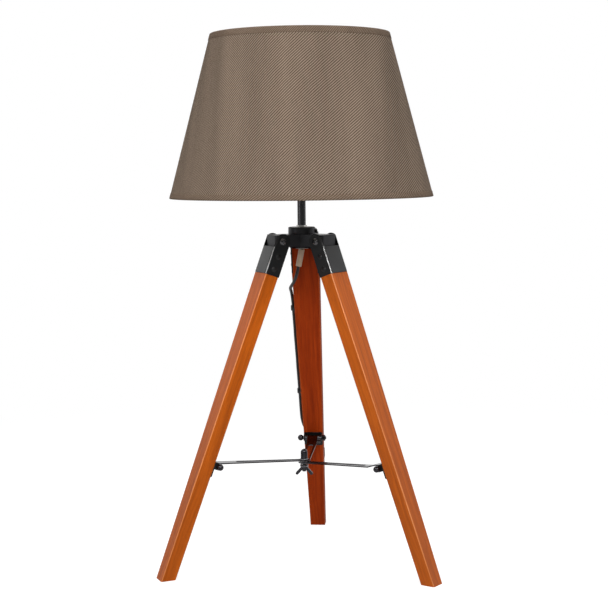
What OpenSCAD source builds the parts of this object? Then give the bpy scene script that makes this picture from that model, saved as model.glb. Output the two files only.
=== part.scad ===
// Tripod table lamp: a fabric shade on a steel stem, over three folding
// hardwood legs that a slotted spreader with a wing nut holds apart.
// Millimetres, +Z up, feet on z = 0, rear leg towards +Y.

/* [Shade] */
// Diameter of the shade's bottom edge
shade_bottom_d = 330; // [300:1:360]
// Diameter of the shade's top edge
shade_top_d = 223; // [190:1:260]
// Height of the shade
shade_h = 202; // [180:1:230]
// Height of the shade's bottom edge above the table
shade_z = 465; // [461:1:480]
// Thickness of the outer fabric
fabric_t = 0.8; // [0.6:0.1:1.2]
// Thickness of the stiff white liner
liner_t = 0.5; // [0.4:0.1:0.8]
// Height of the top hem tape
top_hem_h = 8; // [5:0.5:12]
// Height of the bottom hem tape
bottom_hem_h = 7; // [5:0.5:12]
// Thickness of the hem tapes
hem_t = 0.4; // [0.3:0.1:0.8]
// Diameter of the shade's wire rings and spokes
wire_d = 3; // [2:0.1:4]

/* [Lampholder] */
// Height of the underside of the lampholder's cap
socket_z = 476; // [472:1:482]
// Outside diameter of the lampholder's shell
socket_d = 36; // [34:0.5:40]
// Wall of the lampholder's shell
socket_wall = 1; // [0.8:0.1:1.5]
// Height of the lampholder's cap
socket_cap_h = 20; // [18:1:24]
// Height of the lampholder's shell
socket_shell_h = 46; // [44:1:50]
// Inside diameter of the brass screw shell
screw_shell_d = 26.6; // [26:0.1:28]
// Outside diameter of the shade's ring nuts
ring_nut_d = 48; // [44:1:54]
// Height of each ring nut
ring_nut_h = 5; // [4:0.5:6]
// Diameter of the lamp bulb
bulb_d = 60; // [45:1:64]
// Height of the glass above its metal cap
bulb_h = 84; // [80:1:90]
// Diameter of the switch knob
knob_d = 11; // [9:0.5:12]
// Length of the switch knob
knob_len = 15; // [12:1:20]
// Diameter of the switch shaft
knob_shaft_d = 4; // [3:0.5:5]

/* [Stem and hub] */
// Outside diameter of the stem
stem_d = 10.5; // [9:0.5:12]
// Wall of the stem
stem_wall = 1; // [0.8:0.1:1.5]
// Diameter of the hub's upper part
hub_d = 34; // [32:1:38]
// Diameter of the hub's lower part
hub_low_d = 31; // [29:1:32]
// Height of the hub
hub_h = 26; // [25:1:30]
// Height of the hub's wide upper part
hub_top_h = 11; // [9:1:12]
// Width of each lug
lug_w = 31.4; // [30:0.2:33]
// Height of each lug
lug_h = 15; // [14:0.5:16]
// How far the hub's underside lies below the hinges
hub_drop = 9; // [8:0.5:10]
// How far the lugs' underside lies below the hinges
lug_drop = 7; // [6:0.5:8]
// How far the lugs reach from the axis
lug_reach = 42; // [41:0.5:43]

/* [Legs] */
// Height of the leg hinges
pivot_z = 411; // [405:1:420]
// Distance of the leg hinges from the axis
pivot_r = 33; // [32:0.5:36]
// Distance of each foot's centre from the axis
foot_r = 188; // [170:1:200]
// Width of a leg where it meets its bracket
leg_top_w = 35.4; // [34:0.2:40]
// Width of a leg at the floor
leg_foot_w = 20.2; // [18:0.2:24]
// Thickness of a leg
leg_t = 17.6; // [16:0.2:20]
// Width of the eased edges along a leg
leg_edge = 1; // [0.5:0.1:2]

/* [Leg hardware] */
// Wall of the folded channel brackets
bracket_wall = 1.6; // [1.2:0.1:2]
// Length of a bracket below its hinge
bracket_len = 44; // [42:1:50]
// How far a bracket stands out from the wood, inside and outside
bracket_proud = 0.8; // [0.5:0.1:1]
// Gap between a lug and each bracket cheek
cheek_gap = 0.3; // [0.2:0.05:0.5]
// Width of the saddle plates
saddle_w = 25; // [24:0.5:26]
// Diameter of the hinge screws
pivot_d = 5; // [4:0.5:6]
// Diameter of the rivets
rivet_d = 4; // [3:0.5:5]

/* [Spreader] */
// Height of the cross pins at the legs
pin_z = 136; // [125:1:150]
// Distance of each cross pin from its leg's face
pin_off = 6.4; // [6:0.1:8]
// Diameter of the cross pins
pin_d = 4; // [3:0.5:4.5]
// Diameter of the ball ends
ball_d = 8; // [6:0.5:10]
// Slope of the arms down to the centre, in degrees
arm_slope = 3.8; // [3:0.1:4]
// Thickness of the arms
arm_t = 1.5; // [1.2:0.1:1.5]
// Width of an arm at its leg
arm_outer_w = 14; // [12:0.5:16]
// Width of an arm at the centre
arm_inner_w = 9.5; // [9.5:0.1:10]
// Width of the slots
slot_w = 6.4; // [6.3:0.1:6.6]
// Length of solid strip at an arm's outer end
arm_solid = 27; // [26:0.5:30]
// Height from one arm to the next in the stack
arm_pitch = 2.9; // [2.85:0.05:3.2]
// Diameter of the centre bolt
bolt_d = 5; // [4.5:0.1:5]
// Diameter of the bolt's domed head
dome_d = 8.8; // [8:0.2:12]
// Height of the bolt's domed head
dome_h = 12.6; // [8:0.2:16]

/* [Fits] */
// Radial clearance of turning fits
run_gap = 0.05; // [0.02:0.01:0.08]
// Gap between fixed neighbours that curve
seat_gap = 0.1; // [0.05:0.05:0.2]
// Gap at the stop that holds the legs open
stop_gap = 0.2; // [0.1:0.05:0.3]

/* [Cord] */
// Diameter of the mains cord
cord_d = 4; // [3.6:0.1:4.2]

/* [Hidden] */

// Legs: azimuth, and the side of the leg that its screw head and ball are on
REAR = 90;
LEFT = 210;
RIGHT = 330;
tilt = atan((foot_r - pivot_r) / pivot_z);
foot_u = -pivot_z / cos(tilt);
// Shade in front and rear foot behind reach equally far from the origin
rear_reach = foot_r + leg_t / 2 / cos(tilt);
lamp_y = (shade_bottom_d / 2 - rear_reach) / 2;

// Hub
hub_z = pivot_z - hub_drop;
hub_top = hub_z + hub_h;
lug_z = pivot_z - lug_drop;
stem_seat_z = hub_z + 8;
// How far the stem goes into the holder's cap
stem_in_cap = 9;
stem_top = socket_z + stem_in_cap;
cable_hole_d = 9;
screw_z = hub_top - 5;
stem_screw_d = 4;

// Brackets, in the leg's frame: out from the leg, along the hinge, up the leg
bracket_w = lug_w + 2 * (cheek_gap + bracket_wall);
bracket_d = leg_t + 2 * bracket_proud;
// The leg's top end stops against the lug's lower edge
tenon_top_u = -((lug_reach - pivot_r) * sin(tilt) + lug_drop * cos(tilt) + stop_gap);
wall_top_u = tenon_top_u + 0.5;
rivet_u = [-20, -36];
head_h = 1.6;

// Cross pins and arms
pin_v = -(leg_t / 2 + pin_off);
pin_u = (pin_z - pivot_z - pin_v * sin(tilt)) / cos(tilt);
pin_r = pivot_r - pin_u * sin(tilt) + pin_v * cos(tilt);
plate_t = 1.2;
ear_t = 1.5;
ear_gap = 0.35;
ear_r = 4.5;
ear_out = saddle_w / 2;
ear_in = ear_out - ear_t;
saddle_up = 5;
saddle_down = 15;
saddle_screw_u = -10;
saddle_screw_t = [-6.5, 6.5];
barrel_r = pin_d / 2 + arm_t;
arm_rise = barrel_r - arm_t / 2;
joggle_start = 9;
joggle_end = 20;
arm_past = 8;
arm_reach = pin_r / cos(arm_slope);
arm_top_z = pin_z + arm_rise / cos(arm_slope) - pin_r * tan(arm_slope);
stack_gap = 0.45;
bolt_top = arm_top_z + arm_t / 2 + stack_gap + 0.8;
bolt_low = arm_top_z - 2 * arm_pitch - arm_t / 2 - stack_gap - 1;
wing_h = 4.5;
wing_drop = 4.5;
wing_span = 22;

// Lampholder
core_z = socket_z + socket_cap_h + 2;
core_h = 13;
knob_z = core_z + 7;
// Height of the shade's plate on the holder's thread
fitter_up = 19;
fitter_z = socket_z + socket_cap_h + fitter_up;
fitter_plate_t = 1.5;
screw_shell_z = core_z + core_h;
bulb_z = screw_shell_z + 2.4;
bulb_cap_d = screw_shell_d - 0.6;
bulb_cap_h = 25;

// Cord: from the hub to the rear leg, round the lamp's axis
LEAD = [
    [0, 0, 404], [0, 0, 401], [-1.5, 0.3, 393], [-3.2, 0.6, 385], [-4.9, 1, 377], [-7, 3.5, 369],
    [-10, 9.5, 361.5], [-13.5, 18, 355.5], [-16.6, 27.5, 351.5], [-19, 37.5, 348.5], [-20.3, 47, 345.5],
    [-20.4, 55, 342], [-20.2, 61.5, 337]
];
// Then in the rear leg's frame: out from the leg's middle, to its left, up from its hinge
RUN = [
    [3.2, 19.7, -92], [3.2, 19.5, -104], [3.2, 19.2, -116], [3.2, 18.9, -128],
    [3.2, 18.8, -140], [3.2, 18.5, -152], [3.2, 18.2, -164], [3.2, 17.9, -176], [3.2, 17.8, -188],
    [3.2, 17.5, -200], [3.2, 17.2, -212], [3.2, 17, -224], [3.2, 16.7, -236], [3.4, 16.6, -248],
    [4.5, 16.5, -260], [7, 16.3, -271], [10.2, 15.2, -281], [11.8, 12.5, -291], [11.8, 10.2, -302]
];
// A hank tied behind the rear leg, in that leg's frame
hank_run = 68;
hank_step = 4.6;
hank_r = 18.9;
hank_turns = 5.75;
hank_reverse = 1.5;
hank_shift = 0.125;
hank_waist = 4.5;
hank_side = 8.4;
hank_u = -349;
hank_v = leg_t / 2 + 1.2 + cord_d / 2 + hank_r;
rings_per_loop = 24;
TAIL = [
    [47, -5.4, -307], [44, -5, -297], [36, -4, -287], [26, -2.5, -279], [18.6, -1.2, -270],
    [16.4, -0.6, -260], [16.3, -0.5, -250]
];
clip_u = [-100, -225];
tail_clip_u = -255;
clip_wall = 1.1;
clip_len = 6;
tie_t = 1.2;
tie_w = 12;
pad_t = 2;

// Plug, above the hank on the rear leg's back, in that leg's frame
plug_u = -250;
relief_len = 14;
plug_w = 22;
plug_h = 14;
plug_len = 26;
blade_w = 6.3;
blade_t = 1.5;
blade_len = 17;
blade_apart = 12.7;

$fn = 64;

// ---------- frames and shared shapes ----------

// Everything is drawn round the lamp's axis, then set back by lamp_y
module on_axis() {
    translate([0, lamp_y, 0]) children();
}

// Out from the leg's middle, along its hinge to the left, up the leg from the hinge
module on_leg(az) {
    on_axis()
        rotate([0, 0, az])
            translate([pivot_r, 0, pivot_z])
                rotate([0, -tilt, 0])
                    children();
}

// Origin on the leg's cross pin, first axis outwards along the arm
module on_arm(az) {
    on_axis()
        rotate([0, 0, az])
            translate([pin_r, 0, pin_z])
                rotate([0, -arm_slope, 0])
                    children();
}

// A cylinder along the second axis, between two places on it
module cross_rod(d, from, to) {
    translate([0, from, 0])
        rotate([-90, 0, 0])
            cylinder(d = d, h = to - from);
}

module ring(outer_d, inner_d, h) {
    difference() {
        cylinder(d = outer_d, h = h);
        translate([0, 0, -1])
            cylinder(d = inner_d, h = h + 2);
    }
}

// A domed button of the given width and height, standing on z = 0
module button_head(d, h) {
    sphere_r = (d * d / 4 + h * h) / (2 * h);
    intersection() {
        translate([0, 0, h - sphere_r]) sphere(r = sphere_r);
        cylinder(d = d, h = h);
    }
}

// A rectangle centred on the origin with round corners
module round_rect(w, l, r) {
    square([w - 2 * r, l], center = true);
    square([w, l - 2 * r], center = true);
    for (x = [-1, 1], y = [-1, 1])
        translate([x * (w / 2 - r), y * (l / 2 - r)])
            circle(r = r);
}

// Points on an arc about (cx, cy)
function arc(r, from, to, steps, cx = 0, cy = 0) =
    [for (i = [0 : steps]) let (a = from + (to - from) * i / steps) [cx + r * cos(a), cy + r * sin(a)]];

function unit(v) = v / norm(v);

// Ring centres to a closed tube; its rings turn about the first axis
module tube(points, d, sides, first, last) {
    count = len(points);
    function along(i) =
        i == 0 ? unit(first) : i == count - 1 ? unit(last) : unit(points[i + 1] - points[i - 1]);
    corners = [
        for (i = [0 : count - 1])
            let (t = along(i), a = unit(cross(t, [1, 0, 0])), b = cross(t, a))
                for (k = [0 : sides - 1])
                    points[i] + d / 2 * (cos(360 * k / sides) * a + sin(360 * k / sides) * b)
    ];
    walls = [
        for (i = [0 : count - 2], k = [0 : sides - 1])
            let (n = (k + 1) % sides, lo = i * sides, hi = lo + sides)
                for (f = [[lo + k, lo + n, hi + n], [lo + k, hi + n, hi + k]]) f
    ];
    caps = [
        for (k = [1 : sides - 2])
            let (end = (count - 1) * sides)
                for (f = [[0, k + 1, k], [end, end + k, end + k + 1]]) f
    ];
    polyhedron(points = corners, faces = concat(walls, caps), convexity = 10);
}

// ---------- shade ----------

function shade_r(z) =
    shade_bottom_d / 2 - (z - shade_z) * (shade_bottom_d - shade_top_d) / 2 / shade_h;

// A conical skin between two heights, its outer face this far inside the shade's
module shade_skin(low, high, inset, t) {
    rotate_extrude($fn = 128)
        polygon([
            [shade_r(low) - inset, low], [shade_r(high) - inset, high],
            [shade_r(high) - inset - t, high], [shade_r(low) - inset - t, low]
        ]);
}

// How far the shade's layers and wires lie inside its outer surface
fabric_in = hem_t + 0.05;
liner_in = fabric_in + fabric_t + 0.05;
wire_in = liner_in + liner_t + 0.1 + wire_d / 2;
lip = 0.5;
shade_top_z = shade_z + shade_h;
bottom_wire_z = shade_z + lip + 0.6 + wire_d / 2;
top_wire_z = shade_top_z - lip - 0.6 - wire_d / 2;

module shade_fabric() {
    color("#6f625a")
        on_axis()
            shade_skin(shade_z + lip, shade_top_z - lip, fabric_in, fabric_t);
}

module shade_liner() {
    color("#f1eee6")
        on_axis()
            shade_skin(shade_z + lip, shade_top_z - lip, liner_in, liner_t);
}

// Tape outside the fabric and folded under or over its edge
module hem(low, high, edge_low) {
    edge = edge_low ? low : high - lip + 0.05;
    shade_skin(low, high, 0, hem_t);
    shade_skin(edge, edge + lip - 0.05, 0, liner_in + liner_t);
}

module shade_top_hem() {
    color("#665a52")
        on_axis()
            hem(shade_top_z - top_hem_h, shade_top_z, false);
}

module shade_bottom_hem() {
    color("#665a52")
        on_axis()
            hem(shade_z, shade_z + bottom_hem_h, true);
}

module wire_ring(z) {
    translate([0, 0, z])
        rotate_extrude($fn = 96)
            translate([shade_r(z) - wire_in, 0])
                circle(d = wire_d, $fn = 24);
}

module shade_top_ring() {
    color("#e4e1d8")
        on_axis()
            wire_ring(top_wire_z);
}

module shade_frame() {
    hub_end = [ring_nut_d / 2 + 1.8, fitter_z + fitter_plate_t / 2];
    rim_end = [shade_r(bottom_wire_z) - wire_in, bottom_wire_z];
    run = rim_end - hub_end;
    color("#e4e1d8")
        on_axis() {
            wire_ring(bottom_wire_z);
            translate([0, 0, fitter_z])
                ring(ring_nut_d + 6, socket_d + 4 * seat_gap, fitter_plate_t);
            for (az = [REAR, LEFT, RIGHT])
                rotate([0, 0, az])
                    translate([hub_end[0], 0, hub_end[1]])
                        rotate([0, 90 + atan(-run[1] / run[0]), 0])
                            cylinder(d = wire_d, h = norm(run), $fn = 24);
        }
}

// ---------- lampholder and bulb ----------

module socket_cap() {
    neck_r = stem_d / 2 + 2;
    top = socket_z + socket_cap_h;
    color("#2b2b2d")
        on_axis()
            rotate_extrude()
                polygon([
                    [stem_d / 2 + seat_gap, socket_z], [neck_r, socket_z], [neck_r, socket_z + 9],
                    [socket_d / 2, top - 4], [socket_d / 2, top], [socket_d / 2 - socket_wall, top],
                    [socket_d / 2 - socket_wall, top - 3.6], [stem_d / 2 + seat_gap, socket_z + 10.2]
                ]);
}

module socket_shell() {
    color("#2b2b2d")
        on_axis()
            difference() {
                translate([0, 0, socket_z + socket_cap_h])
                    ring(socket_d, socket_d - 2 * socket_wall, socket_shell_h);
                translate([0, 0, knob_z])
                    rotate([0, 90, 0])
                        cylinder(d = knob_shaft_d + 1, h = socket_d);
            }
}

module socket_core() {
    color("#d9d4c7")
        on_axis()
            difference() {
                translate([0, 0, core_z])
                    cylinder(d = socket_d - 2 * socket_wall - 2 * seat_gap, h = core_h);
                translate([8, 0, knob_z])
                    rotate([0, 90, 0])
                        cylinder(d = knob_shaft_d + 2 * run_gap, h = socket_d);
            }
}

module screw_shell() {
    wall = 0.4;
    color("#b8913f")
        on_axis()
            translate([0, 0, screw_shell_z]) {
                ring(screw_shell_d + 2 * wall, screw_shell_d, 25);
                ring(screw_shell_d + wall, 12, wall);
            }
}

module centre_contact() {
    color("#b8913f")
        on_axis()
            translate([0, 0, screw_shell_z])
                cylinder(d = 8, h = bulb_z - screw_shell_z - 0.2);
}

module fitter_nuts() {
    color("#2b2b2d")
        on_axis()
            for (z = [fitter_z - ring_nut_h, fitter_z + fitter_plate_t])
                translate([0, 0, z])
                    ring(ring_nut_d, socket_d + 2 * seat_gap, ring_nut_h);
}

module switch_knob() {
    color("#1f1f20")
        on_axis()
            translate([0, 0, knob_z])
                rotate([0, 90, 0]) {
                    translate([0, 0, 8.3])
                        cylinder(d = knob_shaft_d, h = ring_nut_d / 2 - 7);
                    translate([0, 0, ring_nut_d / 2 + 0.8])
                        intersection() {
                            cylinder(d = knob_d, h = knob_len);
                            union() {
                                cylinder(d = knob_d, h = knob_len * 0.35);
                                translate([-knob_d / 2, -knob_d / 5, 0])
                                    cube([knob_d, knob_d / 2.5, knob_len]);
                            }
                        }
                }
}

module bulb_cap() {
    color("#c9c9cb")
        on_axis()
            translate([0, 0, bulb_z])
                cylinder(d = bulb_cap_d, h = bulb_cap_h);
}

module bulb_globe() {
    glass = 1;
    neck_r = bulb_cap_d / 2 - 0.5;
    centre_z = bulb_h - bulb_d / 2;
    skin = concat([[neck_r, 0], [neck_r + 0.8, 8]], arc(bulb_d / 2, -38, 90, 16, 0, centre_z));
    inside = concat(
        [[neck_r - glass, glass], [neck_r + 0.8 - glass, 8]],
        arc(bulb_d / 2 - glass, -38, 90, 16, 0, centre_z)
    );
    color("#f4f2ea")
        on_axis()
            translate([0, 0, bulb_z + bulb_cap_h])
                rotate_extrude()
                    polygon(concat(
                        [[0, 0]], skin, [for (i = [len(inside) - 1 : -1 : 0]) inside[i]], [[0, glass]]
                    ));
}

// ---------- stem and hub ----------

module stem_tube() {
    color("#4b4a4d")
        on_axis()
            translate([0, 0, stem_seat_z])
                ring(stem_d, stem_d - 2 * stem_wall, stem_top - stem_seat_z);
}

// Toothed washer and thin lock nut
module stem_nut() {
    color("#d6d6d8")
        on_axis()
            translate([0, 0, hub_top]) {
                ring(stem_d + 3.2, stem_d + 2 * seat_gap, 0.6);
                translate([0, 0, 0.6])
                    difference() {
                        cylinder(d = stem_d + 2.8, h = 1.6, $fn = 6);
                        translate([0, 0, -1])
                            cylinder(d = stem_d + 2 * seat_gap, h = 5);
                    }
            }
}

module stem_screw() {
    color("#4b4a4d")
        on_axis()
            translate([stem_d / 2 + seat_gap, 0, screw_z])
                rotate([0, 90, 0]) {
                    cylinder(d = stem_screw_d, h = hub_d / 2 + 1 - stem_d / 2);
                    translate([0, 0, hub_d / 2 + 0.3 - stem_d / 2])
                        button_head(7, 2.4);
                }
}

module hub() {
    low_h = hub_h - hub_top_h;
    edge = 1.5;
    color("#58575a")
        on_axis()
            difference() {
                union() {
                    translate([0, 0, hub_z]) cylinder(d = hub_low_d, h = low_h);
                    translate([0, 0, hub_z + low_h])
                        rotate_extrude() {
                            square([hub_d / 2, hub_top_h - edge]);
                            square([hub_d / 2 - edge, hub_top_h]);
                            translate([hub_d / 2 - edge, hub_top_h - edge]) circle(r = edge);
                        }
                    for (az = [REAR, LEFT, RIGHT])
                        rotate([0, 0, az])
                            translate([lug_reach / 2, 0, lug_z])
                                linear_extrude(lug_h)
                                    round_rect(lug_reach, lug_w, 4);
                }
                translate([0, 0, stem_seat_z])
                    cylinder(d = stem_d + 2 * seat_gap, h = hub_h);
                translate([0, 0, hub_z - 1])
                    cylinder(d = cable_hole_d, h = hub_h);
                translate([0, 0, screw_z])
                    rotate([0, 90, 0])
                        cylinder(d = stem_screw_d + 2 * seat_gap, h = hub_d);
                for (az = [REAR, LEFT, RIGHT])
                    rotate([0, 0, az])
                        translate([pivot_r, 0, pivot_z])
                            cross_rod(pivot_d + 2 * run_gap, -lug_w, lug_w);
            }
}

module cable_bush() {
    color("#e8e6df")
        on_axis()
            difference() {
                union() {
                    translate([0, 0, hub_z - 1.2]) cylinder(d = cable_hole_d + 7, h = 1.2);
                    translate([0, 0, hub_z - 0.1])
                        cylinder(d = cable_hole_d - 2 * seat_gap, h = 6);
                }
                translate([0, 0, hub_z - 2])
                    cylinder(d = cord_d + 1.4, h = cable_hole_d);
            }
}

// The clear sleeve hangs along the cord, leaning a little to the left
module cable_sleeve() {
    lean = LEAD[4] - LEAD[1];
    color("#dfe3e6", 0.5)
        on_axis()
            translate(LEAD[1])
                rotate([0, acos(lean[2] / norm(lean)), atan2(lean[1], lean[0])])
                    translate([0, 0, 1.2])
                        ring(cord_d + 3.4, cord_d + 1.4, 22);
}

module inner_lead() {
    color("#1d1d1e")
        on_axis()
            translate([0, 0, LEAD[0][2]])
                cylinder(d = cord_d, h = core_z - LEAD[0][2] - 0.2);
}

// ---------- legs and their hardware ----------

function leg_w(u) = leg_foot_w + (leg_top_w - leg_foot_w) * (u - foot_u) / (-bracket_len - foot_u);

module leg_slice(u) {
    w = leg_w(u) / 2;
    t = leg_t / 2;
    e = leg_edge;
    translate([0, 0, u])
        linear_extrude(0.01)
            polygon([
                [t, w - e], [t - e, w], [e - t, w], [-t, w - e],
                [-t, e - w], [e - t, -w], [t - e, -w], [t, e - w]
            ]);
}

module leg(az) {
    tenon_w = lug_w + 2 * cheek_gap - 4 * seat_gap;
    tenon_t = (leg_t + bracket_d) / 2 - bracket_wall - 2 * seat_gap;
    color("#b5632f")
        on_leg(az)
            difference() {
                union() {
                    hull() {
                        leg_slice(-bracket_len - 0.3);
                        leg_slice(foot_u - leg_t);
                    }
                    translate([-leg_t / 2, -tenon_w / 2, -bracket_len - 1])
                        cube([tenon_t, tenon_w, bracket_len + 1 + tenon_top_u]);
                }
                // The foot is cut flat on the floor
                rotate([0, tilt, 0])
                    translate([-100, -50, -pivot_z - 50])
                        cube([400, 100, 50]);
                for (u = rivet_u)
                    translate([0, 0, u])
                        cross_rod(rivet_d + 2 * seat_gap, -lug_w, lug_w);
                for (t = saddle_screw_t)
                    translate([-leg_t, t, pin_u + saddle_screw_u])
                        rotate([0, 90, 0])
                            cylinder(d = 3 + 2 * seat_gap, h = leg_t / 2 + 12.4);
            }
}

// A steel channel that is open on its inner side
module bracket(az) {
    d = bracket_d / 2;
    w = bracket_w / 2;
    corner = 2.4;
    color("#3c3b3e")
        on_leg(az)
            difference() {
                intersection() {
                    translate([0, 0, -bracket_len])
                        linear_extrude(bracket_len + d + 1) {
                            translate([-d, -w]) square([2 * d - corner, 2 * w]);
                            translate([-d, corner - w]) square([2 * d, 2 * (w - corner)]);
                            for (y = [-1, 1])
                                translate([d - corner, y * (w - corner)])
                                    circle(r = corner);
                        }
                    union() {
                        translate([-d, -w - 1, -bracket_len])
                            cube([2 * d, 2 * w + 2, bracket_len]);
                        cross_rod(2 * d, -w - 1, w + 1);
                    }
                }
                translate([-d - 1, bracket_wall - w, -bracket_len - 1])
                    cube([2 * d + 1 - bracket_wall, 2 * (w - bracket_wall), bracket_len + 2 * d]);
                translate([0, bracket_wall - w, wall_top_u])
                    cube([2 * d, 2 * (w - bracket_wall), bracket_len]);
                cross_rod(pivot_d + 2 * run_gap, -2 * w, 2 * w);
                for (u = rivet_u)
                    translate([0, 0, u])
                        cross_rod(rivet_d + 2 * seat_gap, -2 * w, 2 * w);
            }
}

module rivets(az) {
    w = bracket_w / 2;
    color("#8d8c8f")
        on_leg(az)
            for (u = rivet_u)
                translate([0, 0, u]) {
                    cross_rod(rivet_d, -w - 0.5, w + 0.5);
                    for (y = [-1, 1])
                        translate([0, y * w, 0])
                            rotate([-90 * y, 0, 0])
                                button_head(7, head_h);
                }
}

// Domed screw head on the given side, hexagon nut on the other
module pivot(az, side) {
    w = bracket_w / 2;
    color("#8d8c8f")
        on_leg(az)
            mirror([0, side < 0 ? 1 : 0, 0]) {
                cross_rod(pivot_d, -w - 4.5, w + 0.5);
                translate([0, w, 0])
                    rotate([-90, 0, 0])
                        button_head(9, 3);
                translate([0, -w, 0])
                    rotate([90, 0, 0])
                        cylinder(d = 9, h = 3.6, $fn = 6);
            }
}

// Base plate on the leg's inner face, with two ears round the cross pin
module saddle(az) {
    face = -leg_t / 2;
    color("#3c3b3e")
        on_leg(az)
            difference() {
                union() {
                    translate([face - plate_t, 0, pin_u + (saddle_up - saddle_down) / 2])
                        rotate([0, 90, 0])
                            linear_extrude(plate_t)
                                round_rect(saddle_up + saddle_down, saddle_w, 2.5);
                    for (y = [-ear_out, ear_in]) {
                        translate([pin_v, y, pin_u - ear_r])
                            cube([face - pin_v, ear_t, 2 * ear_r]);
                        translate([pin_v, y, pin_u])
                            cross_rod(2 * ear_r, 0, ear_t);
                    }
                }
                translate([pin_v, 0, pin_u])
                    cross_rod(pin_d + 2 * run_gap, -saddle_w, saddle_w);
                for (t = saddle_screw_t)
                    translate([-leg_t, t, pin_u + saddle_screw_u])
                        rotate([0, 90, 0])
                            cylinder(d = 3 + 2 * seat_gap, h = leg_t);
            }
}

module saddle_screws(az) {
    color("#8d8c8f")
        on_leg(az)
            for (t = saddle_screw_t)
                translate([-leg_t / 2 - plate_t, t, pin_u + saddle_screw_u])
                    rotate([0, -90, 0]) {
                        button_head(6, 1.8);
                        translate([0, 0, -12]) cylinder(d = 3, h = 12.4);
                    }
}

// The ball end is on the given side, a hexagon nut on the other
module ball_pin(az, side) {
    ball_y = ear_out + 0.2 + ball_d / 2;
    color("#4b4a4d")
        on_leg(az)
            translate([pin_v, 0, pin_u])
                mirror([0, side < 0 ? 1 : 0, 0]) {
                    cross_rod(pin_d, -ear_out - 5.5, ball_y);
                    translate([0, ball_y, 0]) sphere(d = ball_d);
                    translate([0, -ear_out - 0.2, 0])
                        rotate([90, 0, 0])
                            cylinder(d = 8, h = 4, $fn = 6);
                }
}

// ---------- spreader ----------

// Slotted strip on a sleeve round its pin, set down by its level in the stack
module arm(az, level) {
    drop = level * arm_pitch;
    end = arm_reach + arm_past;
    top = arm_rise + arm_t / 2;
    wide = arm_outer_w / 2;
    narrow = arm_inner_w / 2;
    slot_in = arm_reach + slot_w / 2;
    slot_out = arm_solid + slot_w / 2;
    color("#4b4a4d")
        on_arm(az)
            difference() {
                union() {
                    cross_rod(2 * barrel_r, ear_gap - ear_in, ear_in - ear_gap);
                    intersection() {
                        translate([0, wide + 1, 0])
                            rotate([90, 0, 0])
                                linear_extrude(arm_outer_w + 2)
                                    polygon([
                                        [0, top], [-joggle_start, top],
                                        [-joggle_end, top - drop], [-end, top - drop],
                                        [-end, top - arm_t - drop], [-joggle_end, top - arm_t - drop],
                                        [-joggle_start, top - arm_t], [0, top - arm_t]
                                    ]);
                        translate([0, 0, -20])
                            linear_extrude(40) {
                                polygon([
                                    [0, wide], [narrow - end, narrow], [narrow - end, -narrow], [0, -wide]
                                ]);
                                translate([narrow - end, 0]) circle(r = narrow);
                            }
                    }
                }
                cross_rod(pin_d + 2 * run_gap, -arm_outer_w, arm_outer_w);
                translate([0, 0, -20])
                    linear_extrude(40) {
                        translate([-slot_in, -slot_w / 2]) square([slot_in - slot_out, slot_w]);
                        for (x = [-slot_in, -slot_out]) translate([x, 0]) circle(d = slot_w);
                    }
            }
}

module spreader_bolt() {
    low = bolt_low - wing_h - 2;
    color("#3c3b3e")
        on_axis() {
            translate([0, 0, low]) cylinder(d = bolt_d, h = bolt_top - low + 1);
            translate([0, 0, bolt_top]) cylinder(d = dome_d, h = dome_h - dome_d / 2);
            translate([0, 0, bolt_top + dome_h - dome_d / 2]) sphere(d = dome_d);
        }
}

module spreader_washers() {
    hole = bolt_d + 2 * seat_gap;
    between = 0.5;
    color("#8d8c8f")
        on_axis() {
            translate([0, 0, bolt_top - 0.8]) ring(bolt_d + 5.4, hole, 0.8);
            for (k = [0.5, 1.5])
                translate([0, 0, arm_top_z - k * arm_pitch - between / 2])
                    ring(bolt_d + 3.6, hole, between);
            translate([0, 0, bolt_low]) ring(bolt_d + 6, hole, 1);
        }
}

module wing_nut() {
    wing_t = 2.2;
    root_r = 1.8;
    tip_r = 1.9;
    color("#4b4a4d")
        on_axis()
            translate([0, 0, bolt_low - 0.1 - wing_h])
                difference() {
                    union() {
                        cylinder(d = bolt_d + 4.4, h = wing_h);
                        for (s = [0, 180])
                            rotate([90, 0, s])
                                translate([0, 0, -wing_t / 2])
                                    linear_extrude(wing_t)
                                        hull() {
                                            translate([3, wing_h / 2])
                                                circle(r = root_r, $fn = 32);
                                            translate([wing_span / 2 - tip_r, -wing_drop])
                                                circle(r = tip_r, $fn = 32);
                                        }
                    }
                    translate([0, 0, -1]) cylinder(d = bolt_d + 2 * run_gap, h = wing_h + 2);
                }
}

// ---------- cord and plug ----------

function leg_to_lamp(p) = [
    -p[1],
    pivot_r - p[2] * sin(tilt) + p[0] * cos(tilt),
    pivot_z + p[2] * cos(tilt) + p[0] * sin(tilt)
];
// Straight down and straight up the rear leg, seen from the lamp
down_leg = leg_to_lamp([0, 0, -1]) - leg_to_lamp([0, 0, 0]);

// Turns wound in and out again between the hank's largest and smallest loop
function fold_count(s) = s < hank_shift ? 0 : floor((s - hank_shift) / hank_reverse);
function wound_in(s) =
    let (k = fold_count(s), part = s - hank_shift - k * hank_reverse)
        s < hank_shift ? s - hank_shift : k % 2 == 0 ? part : hank_reverse - part;
// A layer is climbed along the run in whose middle the spiral reverses
function layer(s) =
    let (k = round((s - hank_shift) / hank_reverse), off = s - hank_shift - k * hank_reverse)
        k < 1 ? 0 : k - 1 + min(1, max(0, off / (2 * hank_shift) + 0.5));

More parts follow.
